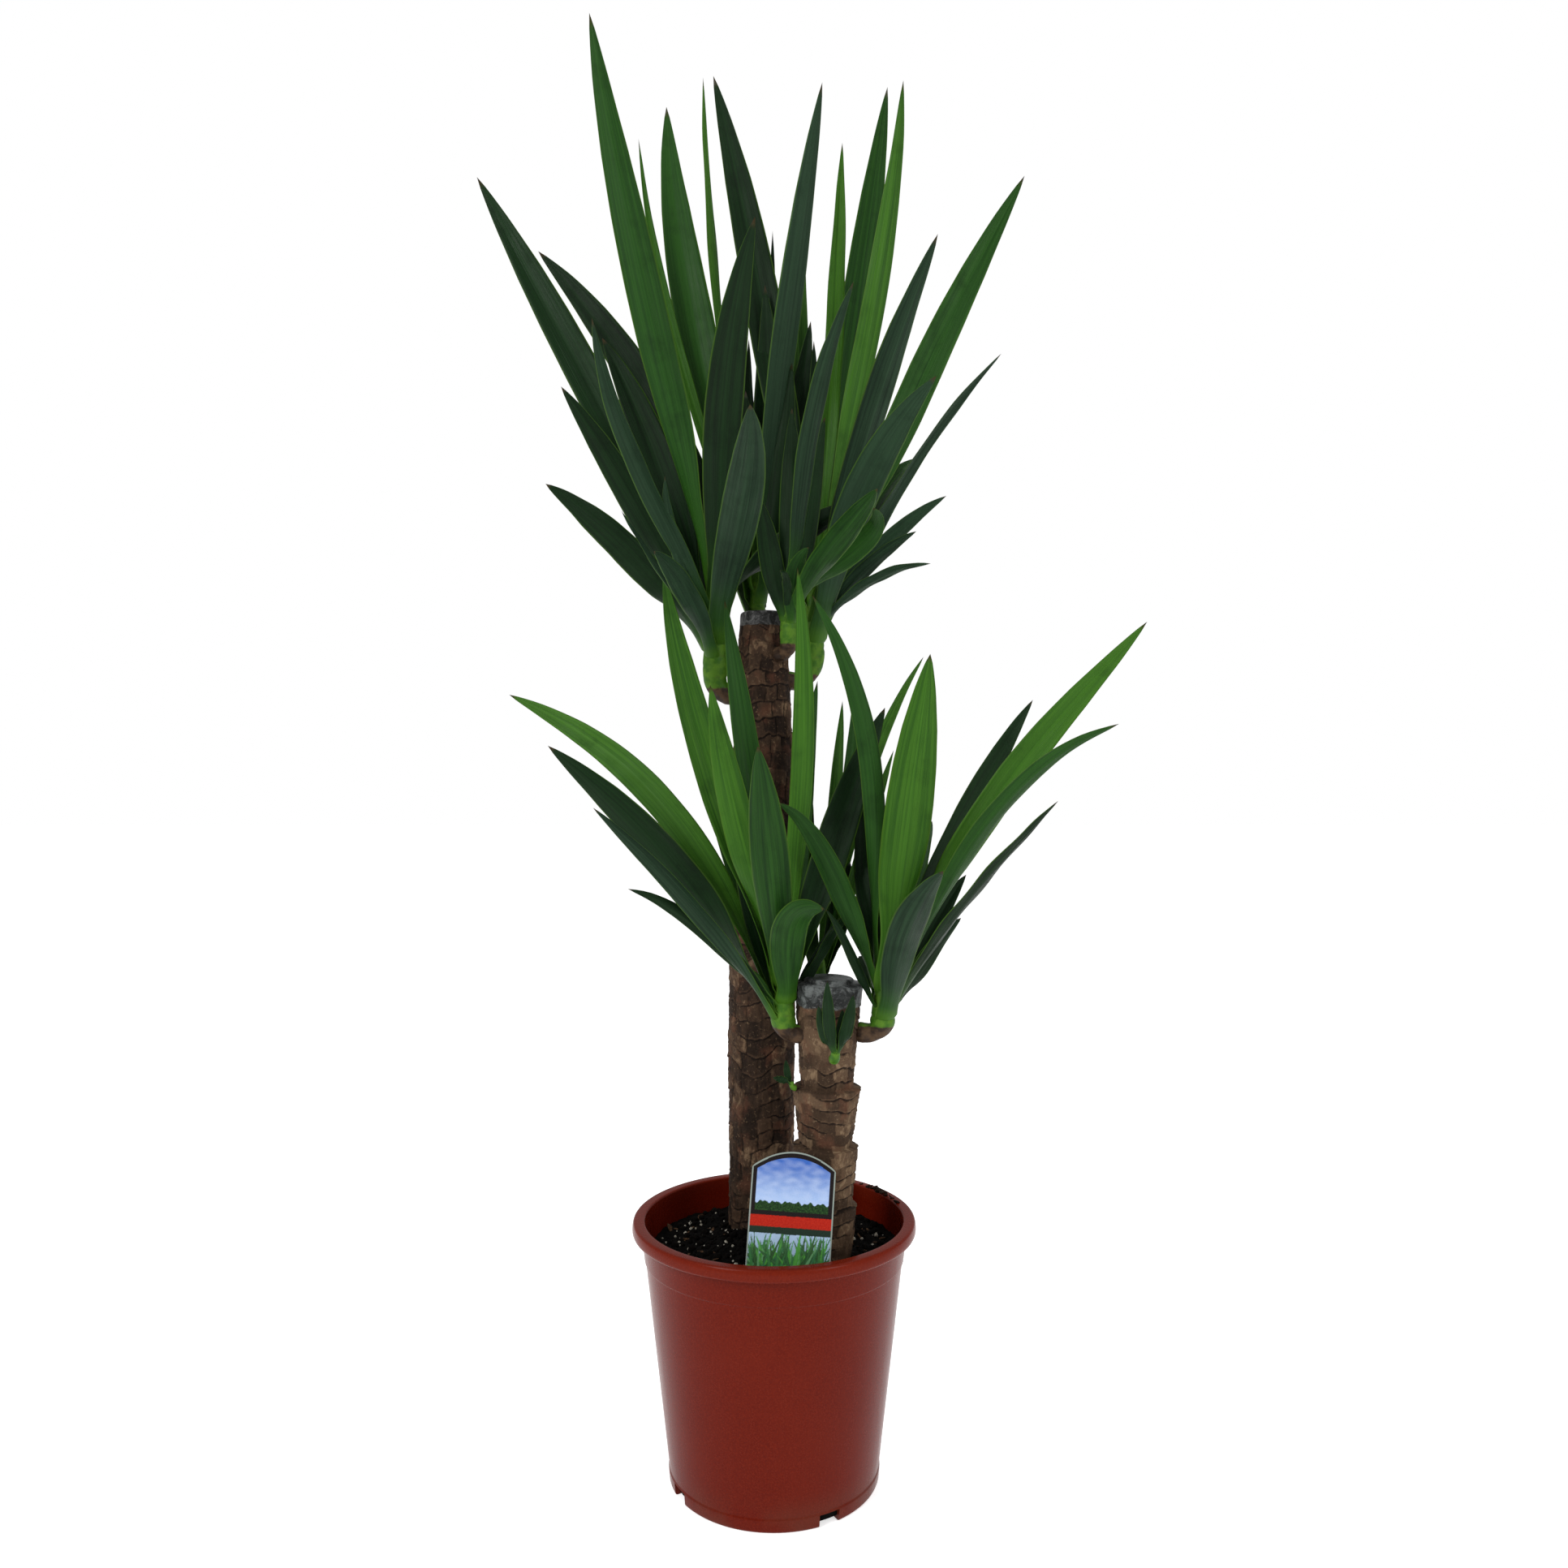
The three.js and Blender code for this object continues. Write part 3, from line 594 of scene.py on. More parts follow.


# shoot, tone, the point from the top of the shoot, width, arch, sway and turn, in millimetres
# and degrees, and how far below the top its foot is.
# The dark tone here is painted shade for leaves at the back and inside the crown; bright is painted light
# for the lit leaves at the top.
small_leaves = [
    ("tall_back", "dark", (12, 60, 297), 10, 0, 4, 10, 20),
    ("tall_back", "dark", (-8, 50, 201), 12, 0, -4, 20, 24),
    ("tall_back", "dark", (28, -30, 153), 22, 4, 0, 0, 30),
    ("tall_back", "bright", (-100, 40, 365), 10, 0, -22, 20, 16),
    ("tall_back", "dark", (60, 90, 180), 24, 14, 0, 0, 26),
    ("tall_back", "dark", (6, 24, 236), 26, 0, 8, 0, 22),
    ("tall_back", "dark", (-30, 60, 190), 26, 0, -6, 0, 26),
    ("tall_back", "dark", (44, 34, 210), 24, 0, 0, 20, 24),
    ("tall_right", "dark", (14, 40, 168), 24, 0, -6, 0, 26),
    ("tall_right", "dark", (50, 30, 130), 22, 6, 0, 0, 34),
    ("tall_left", "dark", (22, 40, 170), 24, 0, 10, 0, 30),
    ("tall_left", "dark", (-50, 50, 120), 22, 10, 0, 0, 36),
    ("tall_front", "dark", (2, -10, 130), 20, 0, 0, 0, 22),
    ("tall_front", "dark", (-22, -24, 60), 18, 6, 0, 0, 28),
    ("short_left", "dark", (20, 40, 130), 20, 4, 0, 0, 26),
    ("short_left", "dark", (-40, 40, 120), 20, 8, 0, 0, 30),
    ("short_right", "dark", (-14, 40, 130), 20, 4, 0, 0, 26),
    ("short_right", "middle", (24, 20, 150), 20, 4, 0, 20, 24),
    ("tall_back", "middle", (-60, 120, 210), 24, 20, 0, 0, 30),
    ("tall_back", "dark", (10, 130, 120), 22, 26, 0, 0, 34),
    ("tall_right", "dark", (2, 50, 207), 15, 0, 0, 20, 20),
    ("tall_right", "grey", (96, -70, 50), 14, 14, 0, 10, 34),
    ("tall_right", "grey", (73, -80, 22), 12, 10, 0, 20, 38),
    ("tall_right", "grey", (81, -100, -5), 9, 14, 0, 40, 42),
    ("tall_right", "middle", (90, 90, 120), 22, 26, 0, 0, 30),
    ("tall_front", "dark", (26, -32, 117), 19, 0, -4, 10, 16),
    ("tall_front", "middle", (14, -42, 20), 15, 8, -12, 0, 30),
    ("tall_front", "dark", (-7, -52, 1), 7, 12, 6, 10, 26),
    ("tall_left", "grey", (-33, -64, 75), 11, 4, -14, 20, 36),
    ("tall_left", "grey", (-59, -104, 41), 6, 6, -8, 30, 44),
    ("tall_left", "dark", (-16, 26, 64), 14, 4, 0, 0, 24),
    ("tall_left", "middle", (-80, 100, 190), 24, 24, 0, 0, 30),
    ("short_left", "dark", (-102, -68, 59), 11, 20, 0, 10, 30),
    ("short_left", "middle", (-26, -18, -1), 9, 8, 0, 0, 36),
    ("short_left", "dark", (56, 22, 39), 8, 22, 0, 30, 30),
    ("short_left", "middle", (26, 52, 206), 17, 8, -6, 0, 20),
    ("short_left", "grey", (57, 42, 33), 5, 26, 0, 30, 26),
    ("short_left", "middle", (-60, 110, 110), 20, 30, 0, 0, 26),
    ("short_right", "grey", (63, 38, 76), 12, 12, 0, 20, 26),
    ("short_right", "dark", (61, 8, 65), 15, 12, 0, 0, 28),
    ("short_right", "dark", (53, -22, 37), 13, 12, 0, 10, 32),
    ("short_right", "grey", (19, -12, -9), 6, 6, 0, 20, 34),
    ("short_right", "dark", (-42, -32, 44), 7, 14, 0, 20, 30),
    ("short_right", "dark", (-13, 28, 1), 8, 20, -8, 0, 24),
    ("short_right", "middle", (50, 120, 100), 20, 30, 0, 0, 26),
    ("short_back", "bright", (20, 62, 187), 12, 4, 0, 10, 14),
    ("short_back", "middle", (30, 42, 207), 12, 0, 6, 0, 12),
    ("short_back", "bright", (58, 32, 147), 10, 8, 0, 20, 16),
    ("short_back", "dark", (24, 22, 61), 17, 8, 0, 0, 20),
    ("short_back", "dark", (-40, 90, 110), 20, 24, 0, 0, 20),
]


def joined(name, parts, material):
    """One object from several (corners, faces, leafmap) parts."""
    verts, faces, data = [], [], []
    for part_verts, part_faces, part_data in parts:
        base = len(verts)
        verts.extend(part_verts)
        faces.extend(tuple(base + corner for corner in face) for face in part_faces)
        data.extend(part_data)
    return make_object(name, verts, faces, material, {"leafmap": data})


tops = {row[0]: crown_top(row[0]) for row in small_leaves}
groups = {}
for number, (shoot, tone, tip, width, arch, sway, turn, below) in enumerate(small_leaves):
    top = tops[shoot]
    end = top + np.array(tip) * MM
    end[1] = min(end[1], cad_bounds[1][1] - BACK_MARGIN_MM * MM)
    out = unit(np.array([tip[0], tip[1], 0.0]))
    foot = top - np.array([0, 0, below * MM]) + out * LEAF_SEAT_MM * MM
    splay = min(0.9, 0.15 + 0.5 * math.hypot(tip[0], tip[1]) / max(tip[2], 25))
    rings, point = free_leaf(foot, end, width * MM, arch * MM, sway * MM, turn, splay)
    part = blade(rings, point, 300 + number, steps=SMALL_LEAF_STEPS, sheath=SMALL_SHEATH_MM)
    groups.setdefault((shoot, tone), []).append(part)
for (shoot, tone), parts in groups.items():
    piece = joined(f"small_leaves_{shoot}_{tone}", parts, leaf_materials[tone])
    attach(piece, "root")


# ---------------------------------------------------------------- shoots

CROWN_BAND_MM, ROOT_BAND_MM, SOCKET_BAND_MM = 6, 8, 1
SWELL_REACH_MM, SWELL_SHARE, SWELL_SINK_MM = 7, 0.35, 4
CORK_FROM_MM, CORK_TO_MM = 9, 17
SHEATH_SCAR_PITCH = 0.0085


def average(places):
    return sum(places, Vector()) / len(places)


def fine_shoot(node, seed):
    """The shoot as a smooth tube with sheath scars and a swollen corky collar at the cane."""
    bm = bmesh.new()
    bm.from_mesh(nodes[node].data)
    bmesh.ops.remove_doubles(bm, verts=bm.verts, dist=2e-5)
    bmesh.ops.subdivide_edges(bm, edges=bm.edges, cuts=3, use_grid_fill=True, smooth=0.6)
    bmesh.ops.smooth_vert(bm, verts=bm.verts, factor=0.4, use_axis_x=True, use_axis_y=True,
                          use_axis_z=True)
    bmesh.ops.recalc_face_normals(bm, faces=bm.faces)
    bm.normal_update()
    low = min(v.co.z for v in bm.verts)
    high = max(v.co.z for v in bm.verts)
    crown = average([v.co for v in bm.verts if v.co.z > high - CROWN_BAND_MM * MM])
    root = average([v.co for v in bm.verts if v.co.z < low + ROOT_BAND_MM * MM])
    outward = (crown - root) * Vector((1, 1, 0))
    outward.normalize()
    nearest = min(v.co.dot(outward) for v in bm.verts)
    socket = average([v.co for v in bm.verts if v.co.dot(outward) < nearest + SOCKET_BAND_MM * MM])
    for v in bm.verts:
        share = 1 - float(smoothstep(0, SWELL_REACH_MM * MM, v.co.dot(outward) - nearest))
        aside = v.co - socket
        aside -= outward * aside.dot(outward)
        v.co += aside * SWELL_SHARE * share - outward * SWELL_SINK_MM * MM * share
    data = []
    moved = []
    for v in bm.verts:
        run = (v.co.z - low) / (high - low)
        wobble = noise_at(v.co.x * 60, v.co.y * 60, seed)
        phase = (v.co.z + 0.003 * wobble) / SHEATH_SCAR_PITCH
        scar = (0.5 + 0.5 * math.cos(2 * math.pi * phase)) ** 14
        rough = noise.noise(v.co * 220) * 0.4 + noise.noise(v.co * 500) * 0.2
        woody = 1 - float(smoothstep(CORK_FROM_MM * MM, CORK_TO_MM * MM, v.co.z - low))
        lift = (-0.45 * scar * (1 - woody) + woody * (0.2 + 1.6 * rough)) * MM
        moved.append(v.co + v.normal * lift)
        data.append((run, scar * (1 - woody), 1 - woody))
    for v, place in zip(bm.verts, moved):
        v.co = place
    verts = [v.co[:] for v in bm.verts]
    faces = [tuple(v.index for v in f.verts) for f in bm.faces]
    bm.free()
    return make_object(f"fine_{node}", verts, faces, stem_surface, {"stemmap": data})


for number, node in enumerate(sorted(name for name in nodes if name.startswith("shoot_"))):
    piece = fine_shoot(node, 7.3 * number)
    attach(piece, "root")
    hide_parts(node)


# ---------------------------------------------------------------- buds

TUBE_SIDES = 14


def tube(points, radii):
    """Corners, faces and stemmap of a closed tube along the points."""
    sides = TUBE_SIDES
    points = np.asarray(points, float)
    verts, data, faces = [], [], []
    side_way = unit(np.cross(points[1] - points[0], [0.3, 0.2, 1.0]))
    for i, centre in enumerate(points):
        along = unit(points[min(i + 1, len(points) - 1)] - points[max(i - 1, 0)])
        side_way = unit(side_way - along * np.dot(side_way, along))
        other = np.cross(along, side_way)
        for k in range(sides):
            angle = 2 * math.pi * k / sides
            verts.append(centre + radii[i] * (side_way * math.cos(angle) + other * math.sin(angle)))
            data.append((0.25 + 0.75 * i / (len(points) - 1), 0.0, min(1.0, 0.3 + 2.0 * i / len(points))))
    for i in range(len(points) - 1):
        for k in range(sides):
            j = (k + 1) % sides
            faces.append((i * sides + k, i * sides + j, (i + 1) * sides + j, (i + 1) * sides + k))
    faces.append(tuple(range(sides - 1, -1, -1)))
    faces.append(tuple(range((len(points) - 1) * sides, len(points) * sides)))
    return verts, faces, data


def fine_bud(node, tips, width, stub, tone):
    """A bud: a short green stub with small leaves standing in it."""
    low, high = (np.array(corner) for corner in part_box(node))
    cane_low, cane_high = (np.array(corner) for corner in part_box("short_cane"))
    middle = (cane_low + cane_high) / 2
    root = (low + high) / 2
    root[2] = low[2] + stub * 0.6
    inward = unit(np.array([middle[0] - root[0], middle[1] - root[1], 0]))
    start = root + inward * 0.5 * stub
    stem = [start, root - inward * 0.2 * stub, root - inward * 0.35 * stub + [0, 0, 0.6 * stub],
            root - inward * 0.35 * stub + [0, 0, 1.2 * stub]]
    body = tube(bezier(*[np.asarray(p, float) for p in stem], 8), np.linspace(0.55, 0.42, 9) * stub)
    piece = make_object(f"fine_{node}", body[0], body[1], stem_surface, {"stemmap": body[2]})
    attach(piece, "root")
    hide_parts(node)
    foot = np.asarray(stem[3], float) - [0, 0, 0.5 * stub]
    parts = []
    for number, tip in enumerate(tips):
        end = foot + np.array(tip) * MM
        out = unit(np.array([tip[0], tip[1], 0.0]))
        rings, point = free_leaf(foot + out * 0.3 * stub, end, width * MM, 0, 0.1 * tip[0] * MM,
                                 0, 0.5)
        parts.append(blade(rings, point, 500 + number, steps=22, sheath=0))
    leaves = joined(f"{node}_leaves", parts, leaf_materials[tone])
    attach(leaves, "root")


fine_bud("bud_front", [(-6, -8, 52), (12, -6, 42), (-12, -4, 34), (5, 4, 30)], 9, 7 * MM, "dark")
fine_bud("bud_side", [(-13, -4, 6), (-4, 3, 17)], 5, 4 * MM, "dark")


# ---------------------------------------------------------------- canes

def cane_shape(node):
    """The foot, direction, length, and [run, radius] pairs of a CAD cane."""
    places, _ = welded(node)
    low = places[places[:, 2] < places[:, 2].min() + 0.004].mean(axis=0)
    high = places[places[:, 2] > places[:, 2].max() - 0.004].mean(axis=0)
    along = unit(high - low)
    runs = (places - low) @ along
    out = np.linalg.norm(places - low - runs[:, None] * along, axis=1)
    pairs = sorted((float(r), float(d)) for r, d in zip(runs, out) if d > 0.003)
    return low, along, runs.max(), pairs


CUT_EDGE_MM = 3.0
CUT_ROWS = 14
BARK_ROW_MM = 0.95


def fine_cane(node, material, buried, columns, plates, split, ring_pitch, ring_depth,
              seed, wax_mm):
    """A cane with bark plates, cracks, ring scars and a waxed cut top.

    buried is its length under the soil and ring_pitch the height of a row of plates, in metres.
    columns is the mesh's corners round it, and split the strength of its upright cracks.
    """
    foot, along, length, pairs = cane_shape(node)
    run_at = [p[0] for p in pairs]
    radius_at = [p[1] for p in pairs]
    side_way = unit(np.cross([0, 1, 0], along))
    other = np.cross(along, side_way)
    verts, bark, wax = [], [], []
    cut = CUT_EDGE_MM * MM

    def add(run, angle, radius, top):
        flat = Vector((math.cos(angle), math.sin(angle), 0))
        spot = Vector((flat.x * 0.025, flat.y * 0.025, run))
        wave = noise_at(flat.x * 1.3, flat.y * 1.3, run * 14 + seed) * 0.95
        wave += noise_at(flat.x * 4.5, flat.y * 4.5, run * 60) * 0.16
        phase = run / ring_pitch + wave
        row_number = math.floor(phase)
        lot = noise.cell(Vector((row_number * 1.7 + seed, 0.3, 0.7)))
        lot -= math.floor(lot)
        pieces_round = plates + int(3 * lot)
        drift = 0.20 * noise_at(flat.x * 3, flat.y * 3, run * 90)
        turn_at = angle / (2 * math.pi) * pieces_round + 10 * lot + drift
        column_number = math.floor(turn_at) % pieces_round
        plate = noise.cell(Vector((row_number * 3.3 + seed, column_number * 2.9 + 0.5, 0.2)))
        plate -= math.floor(plate)
        away_turn = min(turn_at % 1, 1 - turn_at % 1) * 2 * math.pi * radius / pieces_round
        away_run = min(phase % 1, 1 - phase % 1) * ring_pitch
        ragged = 0.5 * MM * noise.noise(spot * 300)
        strength = 0.25 + 0.75 * float(smoothstep(-0.15, 0.3, noise.noise(spot * 48 + Vector((9, 2, seed)))))
        upright = float(1 - smoothstep(0.1 * MM, 1.1 * MM, away_turn + ragged)) * strength * split
        level = float(1 - smoothstep(0.1 * MM, 1.2 * MM, away_run + ragged))
        part = float(smoothstep(-0.3, 0.15, noise.noise(spot * 36 + Vector((seed, 5, 1)))))
        level *= 0.3 + 0.7 * part
        crack = max(upright, level)
        above = phase % 1
        ring = float(smoothstep(0.0, 0.07, above) * (1 - smoothstep(0.07, 0.3, above))) * part
        rough = noise.fractal(spot * 230, 0.7, 2.1, 4) * 0.35 + noise.noise(spot * 90) * 0.5
        fibre = abs(noise_at(flat.x * 9, flat.y * 9, run * 110 + seed))
        fibre = float(1 - smoothstep(0.0, 0.09, fibre)) * 0.55 * strength
        lift = -0.95 * crack - 0.4 * fibre + 0.7 * (plate - 0.5) + ring_depth * ring + rough
        crack = max(crack, fibre)
        near_top = float(smoothstep(length - wax_mm * MM * 1.25, length - wax_mm * MM * 0.6, run))
        calm = 1 - 0.75 * near_top
        lift = (lift * calm - 0.25) * MM
        lift += 1.1 * MM * noise_at(flat.x * 0.9, flat.y * 0.9, run * 9 + seed)
        r = radius + (lift if top == 0 else 0)
        place = foot + along * run + (side_way * flat.x + other * flat.y) * r
        if top:
            place = place + along * top
        verts.append(place)
        # The first value of barkmap marks the cracks and grooves, which the material darkens as painted
        # shade; the third marks the rings, which it paints lighter as a painted highlight.
        bark.append((crack * calm, plate, ring))
        # The third value of this map is the mask of the painted shade in the hollows of the level cracks.
        wax.append((near_top if top == 0 else 1.0, 0.0, level * calm))

    shoulder = length - cut
    hidden = np.linspace(0, buried, 9)[:-1]
    shown = np.linspace(buried, shoulder, int((shoulder - buried) / (BARK_ROW_MM * MM)))
    runs = np.concatenate([hidden, shown])
    rows = len(runs) - 1
    for run in runs:
        radius = float(np.interp(run, run_at, radius_at))
        for column in range(columns):
            add(run, 2 * math.pi * column / columns, radius, 0)
    end_radius = float(np.interp(shoulder, run_at, radius_at))
    for row in range(1, CUT_ROWS):
        share = row / CUT_ROWS
        bend = min(1.0, share / 0.3)
        inner = end_radius * (1 - 0.14 * (1 - math.cos(bend * math.pi / 2)))
        radius = inner if share <= 0.3 else inner * (1 - (share - 0.3) / 0.7)
        for column in range(columns):
            angle = 2 * math.pi * column / columns
            spot = Vector((math.cos(angle) * radius * 60, math.sin(angle) * radius * 60, seed))
            dip = noise.fractal(spot, 0.8, 2.0, 3) * 0.7 - 0.5
            rise = cut * math.sin(bend * math.pi / 2) + dip * MM * float(smoothstep(0.3, 0.6, share))
            add(shoulder, angle, radius, max(rise, 1e-6))
    faces = []
    total = rows + CUT_ROWS
    for row in range(total - 1):
        for column in range(columns):
            after = (column + 1) % columns
            low, high = row * columns, (row + 1) * columns
            faces.append((low + column, low + after, high + after, high + column))
    verts.append(foot + along * (length - 0.5 * MM))
    bark.append((0, 0.5, 0))
    wax.append((1.0, 0, 0))
    last = (total - 1) * columns
    for column in range(columns):
        faces.append((last + column, last + (column + 1) % columns, len(verts) - 1))
    verts.append(foot)
    bark.append((0, 0.5, 0))
    wax.append((0, 0, 0))
    for column in range(columns):
        faces.append(((column + 1) % columns, column, len(verts) - 1))
    piece = make_object(f"fine_{node}", verts, faces, material, {"barkmap": bark, "wax_and_shade_map": wax})
    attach(piece, "root")
    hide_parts(node)


tall_surface = bark_material("tall_bark", (0.015, 0.009, 0.006), (0.052, 0.030, 0.018),
                             (0.20, 0.13, 0.075), (0.09, 0.09, 0.088))
short_surface = bark_material("short_bark", (0.034, 0.020, 0.012), (0.095, 0.058, 0.034),
                              (0.22, 0.15, 0.088), (0.12, 0.13, 0.127))
fine_cane("tall_cane", tall_surface, buried=0.114, columns=190, plates=12, split=1.0,
          ring_pitch=0.0120, ring_depth=0.55, seed=3.1, wax_mm=12)
fine_cane("short_cane", short_surface, buried=0.086, columns=180, plates=8, split=0.45,
          ring_pitch=0.0085, ring_depth=0.5, seed=8.7, wax_mm=20)


# ---------------------------------------------------------------- pot

POT_SIDES = 192
LIP_MM, OVERHANG_MM, COLLAR_MM, STEP_MM, WALL_MM, FLOOR_MM = 9, 7, 20, 0.8, 2, 2.5
RECESS_MM = 1.2
DRAIN_SLOTS, DRAIN_FIRST_DEG = 4, -60
DRAIN_SIZE_MM = (24, 16, 18)


def fine_pot():
    """The pot as one smooth turned shell, with its drain slots cut by a boolean."""
    low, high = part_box("pot")
    height = high[2] - low[2]
    rim = (high[0] - low[0]) / 2
    places, _ = welded("pot")
    under = places[places[:, 2] < 1e-5]
    base = np.linalg.norm(under[:, :2], axis=1).max() + 3 * MM
    wall_top = rim - OVERHANG_MM * MM
    lip_low = height - LIP_MM * MM
    collar_low = lip_low - COLLAR_MM * MM

    def wall(z):
        return base + (wall_top - base) * z / lip_low

    step = STEP_MM * MM
    inner_top = wall(lip_low) - step - WALL_MM * MM
    inner_low = wall(FLOOR_MM * MM) - step - WALL_MM * MM
    profile = [
        (0, RECESS_MM * MM), (base - 14 * MM, RECESS_MM * MM), (base - 12.5 * MM, 0), (base - 3 * MM, 0),
        (base + 0.2 * MM, 0.0), (wall(9 * MM) - 0.1 * MM, 9 * MM),
        (wall(10 * MM) - step, 10.4 * MM), (wall(collar_low) - step, collar_low),
        (wall(collar_low) + 0.1 * MM, collar_low + step), (wall_top, lip_low),
        (rim - 0.4 * MM, lip_low - 0.3 * MM), (rim, height - 4 * MM), (rim - 1.2 * MM, height),
        (inner_top + 0.2 * MM, height), (inner_top, lip_low), (inner_low, FLOOR_MM * MM),
        (0, FLOOR_MM * MM),
    ]
    radii = {4: 2.2 * MM, 9: 1.2 * MM, 10: 2.6 * MM, 11: 2.4 * MM, 12: 1.6 * MM, 13: 1.8 * MM,
             5: 0.4 * MM, 6: 0.4 * MM, 7: 0.3 * MM, 8: 0.3 * MM, 14: 4 * MM, 15: 2 * MM}
    verts, faces = lathe(rounded(profile, radii, 5), POT_SIDES)
    pot = make_object("fine_pot", verts, faces, pot_material())
    cutters = []
    for slot in range(DRAIN_SLOTS):
        angle = math.radians(DRAIN_FIRST_DEG + 360 / DRAIN_SLOTS * slot)
        bpy.ops.mesh.primitive_cube_add(size=1)
        cutter = bpy.context.object
        cutter.scale = [size * MM for size in DRAIN_SIZE_MM]
        cutter.rotation_euler = (0, 0, angle)
        cutter.location = (base * math.cos(angle), base * math.sin(angle), 0)
        modifier = pot.modifiers.new("slot", "BOOLEAN")
        modifier.operation = "DIFFERENCE"
        modifier.object = cutter
        modifier.solver = "EXACT"
        cutters.append(cutter)
    bpy.context.view_layer.update()
    graph = bpy.context.evaluated_depsgraph_get()
    cut = bpy.data.meshes.new_from_object(pot.evaluated_get(graph))
    pot.modifiers.clear()
    pot.data = cut
    for cutter in cutters:
        bpy.data.objects.remove(cutter)
    for polygon in cut.polygons:
        polygon.use_smooth = True
    cut.set_sharp_from_angle(angle=math.radians(32))
    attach(pot, "root")
    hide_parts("pot")
    return inner_top, inner_low, height


pot_inner_top, pot_inner_low, pot_top = fine_pot()


# ---------------------------------------------------------------- soil

soil_low, soil_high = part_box("soil")
soil_radius = (soil_high[0] - soil_low[0]) / 2
soil_peak = soil_high[2]
SOIL_MOUND = 8 * MM
soil_edge = soil_peak - SOIL_MOUND


def soil_height(x, y):
    share = min(1.0, math.hypot(x, y) / soil_radius)
    mound = soil_edge + SOIL_MOUND * (1 - share ** 2) * 0.85
    rough = noise.fractal(Vector((x * 70, y * 70, 1.7)), 0.8, 2.1, 5) * 3.2 * MM
    lumps = abs(noise_at(x * 210, y * 210, 4.4)) * 3.0 * MM
    return mound + rough * (1 - 0.5 * share) + lumps - 1.2 * MM


def fine_soil():
    rows, columns = 90, 220
    verts = [(0, 0, soil_height(0, 0))]
    for row in range(1, rows + 1):
        radius = soil_radius * row / rows
        for column in range(columns):
            angle = 2 * math.pi * column / columns
            x, y = radius * math.cos(angle), radius * math.sin(angle)
            verts.append((x, y, soil_height(x, y)))
    low_radius = pot_inner_low - 0.4 * MM
    for column in range(columns):
        angle = 2 * math.pi * column / columns
        verts.append((low_radius * math.cos(angle), low_radius * math.sin(angle), soil_low[2]))
    faces = [(0, 1 + c, 1 + (c + 1) % columns) for c in range(columns)]
    for row in range(rows):
        low = 1 + row * columns
        high = low + columns
        for c in range(columns):
            d = (c + 1) % columns
            faces.append((low + c, high + c, high + d, low + d))
    last = 1 + rows * columns
    faces.append(tuple(last + c for c in range(columns - 1, -1, -1)))
    return make_object("fine_soil", verts, faces,
                       soil_material("potting_soil", (0.0006, 0.0005, 0.0004), (0.004, 0.0030, 0.0022)))


soil = fine_soil()
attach(soil, "root")
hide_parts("soil")


CRUMB_SPREAD = 0.93


def crumbs(name, count, seed, size, material, flat=1.0, long=1.0, place=None):
    """Lumps with their own shapes, lying on the soil."""
    rng = random.Random(seed)
    bm = bmesh.new()
    bmesh.ops.create_icosphere(bm, subdivisions=2, radius=1)
    shape = [v.co.copy() for v in bm.verts]
    facets = [tuple(v.index for v in f.verts) for f in bm.faces]
    bm.free()
    verts, faces = [], []
    for number in range(count):
        radius = size[0] + (size[1] - size[0]) * rng.random() ** 2
        if place:
            centre = place(rng)
        else:
            angle = rng.uniform(0, 2 * math.pi)
            far = soil_radius * CRUMB_SPREAD * math.sqrt(rng.random())
            x, y = far * math.cos(angle), far * math.sin(angle)
            centre = Vector((x, y, soil_height(x, y) + radius * 0.25 * flat))
        turn = Vector((rng.uniform(-1, 1), rng.uniform(-1, 1), rng.uniform(-0.5, 0.5)))
        spin = turn.to_track_quat("X", "Z")
        base = len(verts)
        for co in shape:
            lump = 1 + 0.35 * noise.noise(co * 1.6 + Vector((number * 3.1, seed, 0)))
            local = Vector((co.x * long, co.y, co.z * flat)) * radius * lump
            verts.append((centre + spin @ local)[:])
        faces.extend(tuple(base + k for k in f) for f in facets)
    piece = make_object(name, verts, faces, material)
    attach(piece, "root")


crumbs("soil_crumbs", 900, 11, (0.7 * MM, 3.0 * MM),
       soil_material("crumb_earth", (0.0008, 0.0006, 0.0005), (0.007, 0.0048, 0.0034)))
crumbs("soil_perlite", 210, 12, (0.5 * MM, 1.7 * MM),
       soil_material("crumb_perlite", (0.22, 0.20, 0.16), (0.62, 0.58, 0.50)))
crumbs("soil_chips", 90, 13, (0.9 * MM, 2.4 * MM),
       soil_material("crumb_chips", (0.035, 0.018, 0.010), (0.13, 0.075, 0.04)), 0.3, 2.4)


def on_rim(rng):
    angle = math.radians(rng.gauss(33, 7))
    far = pot_inner_top + rng.uniform(0, 4) * MM
    return Vector((far * math.cos(angle), far * math.sin(angle), pot_top + rng.uniform(-0.2, 1.6) * MM))


crumbs("rim_crumbs", 46, 14, (0.5 * MM, 2.0 * MM),
       soil_material("crumb_rim", (0.010, 0.006, 0.004), (0.055, 0.03, 0.02)), 0.6, 1.6, place=on_rim)


# ---------------------------------------------------------------- label

LABEL_WIDTH, LABEL_HEIGHT, LABEL_ARCH = 58.0, 87.0, 11.0
STAKE_WIDTH, STAKE_LENGTH, STAKE_SHOULDER = 22.0, 40.0, 0.6
LABEL_TURN, LABEL_LEAN = 4.0, 9.0
LABEL_COLUMNS, LABEL_ROWS, LABEL_HALF_THICK = 150, 225, 0.4
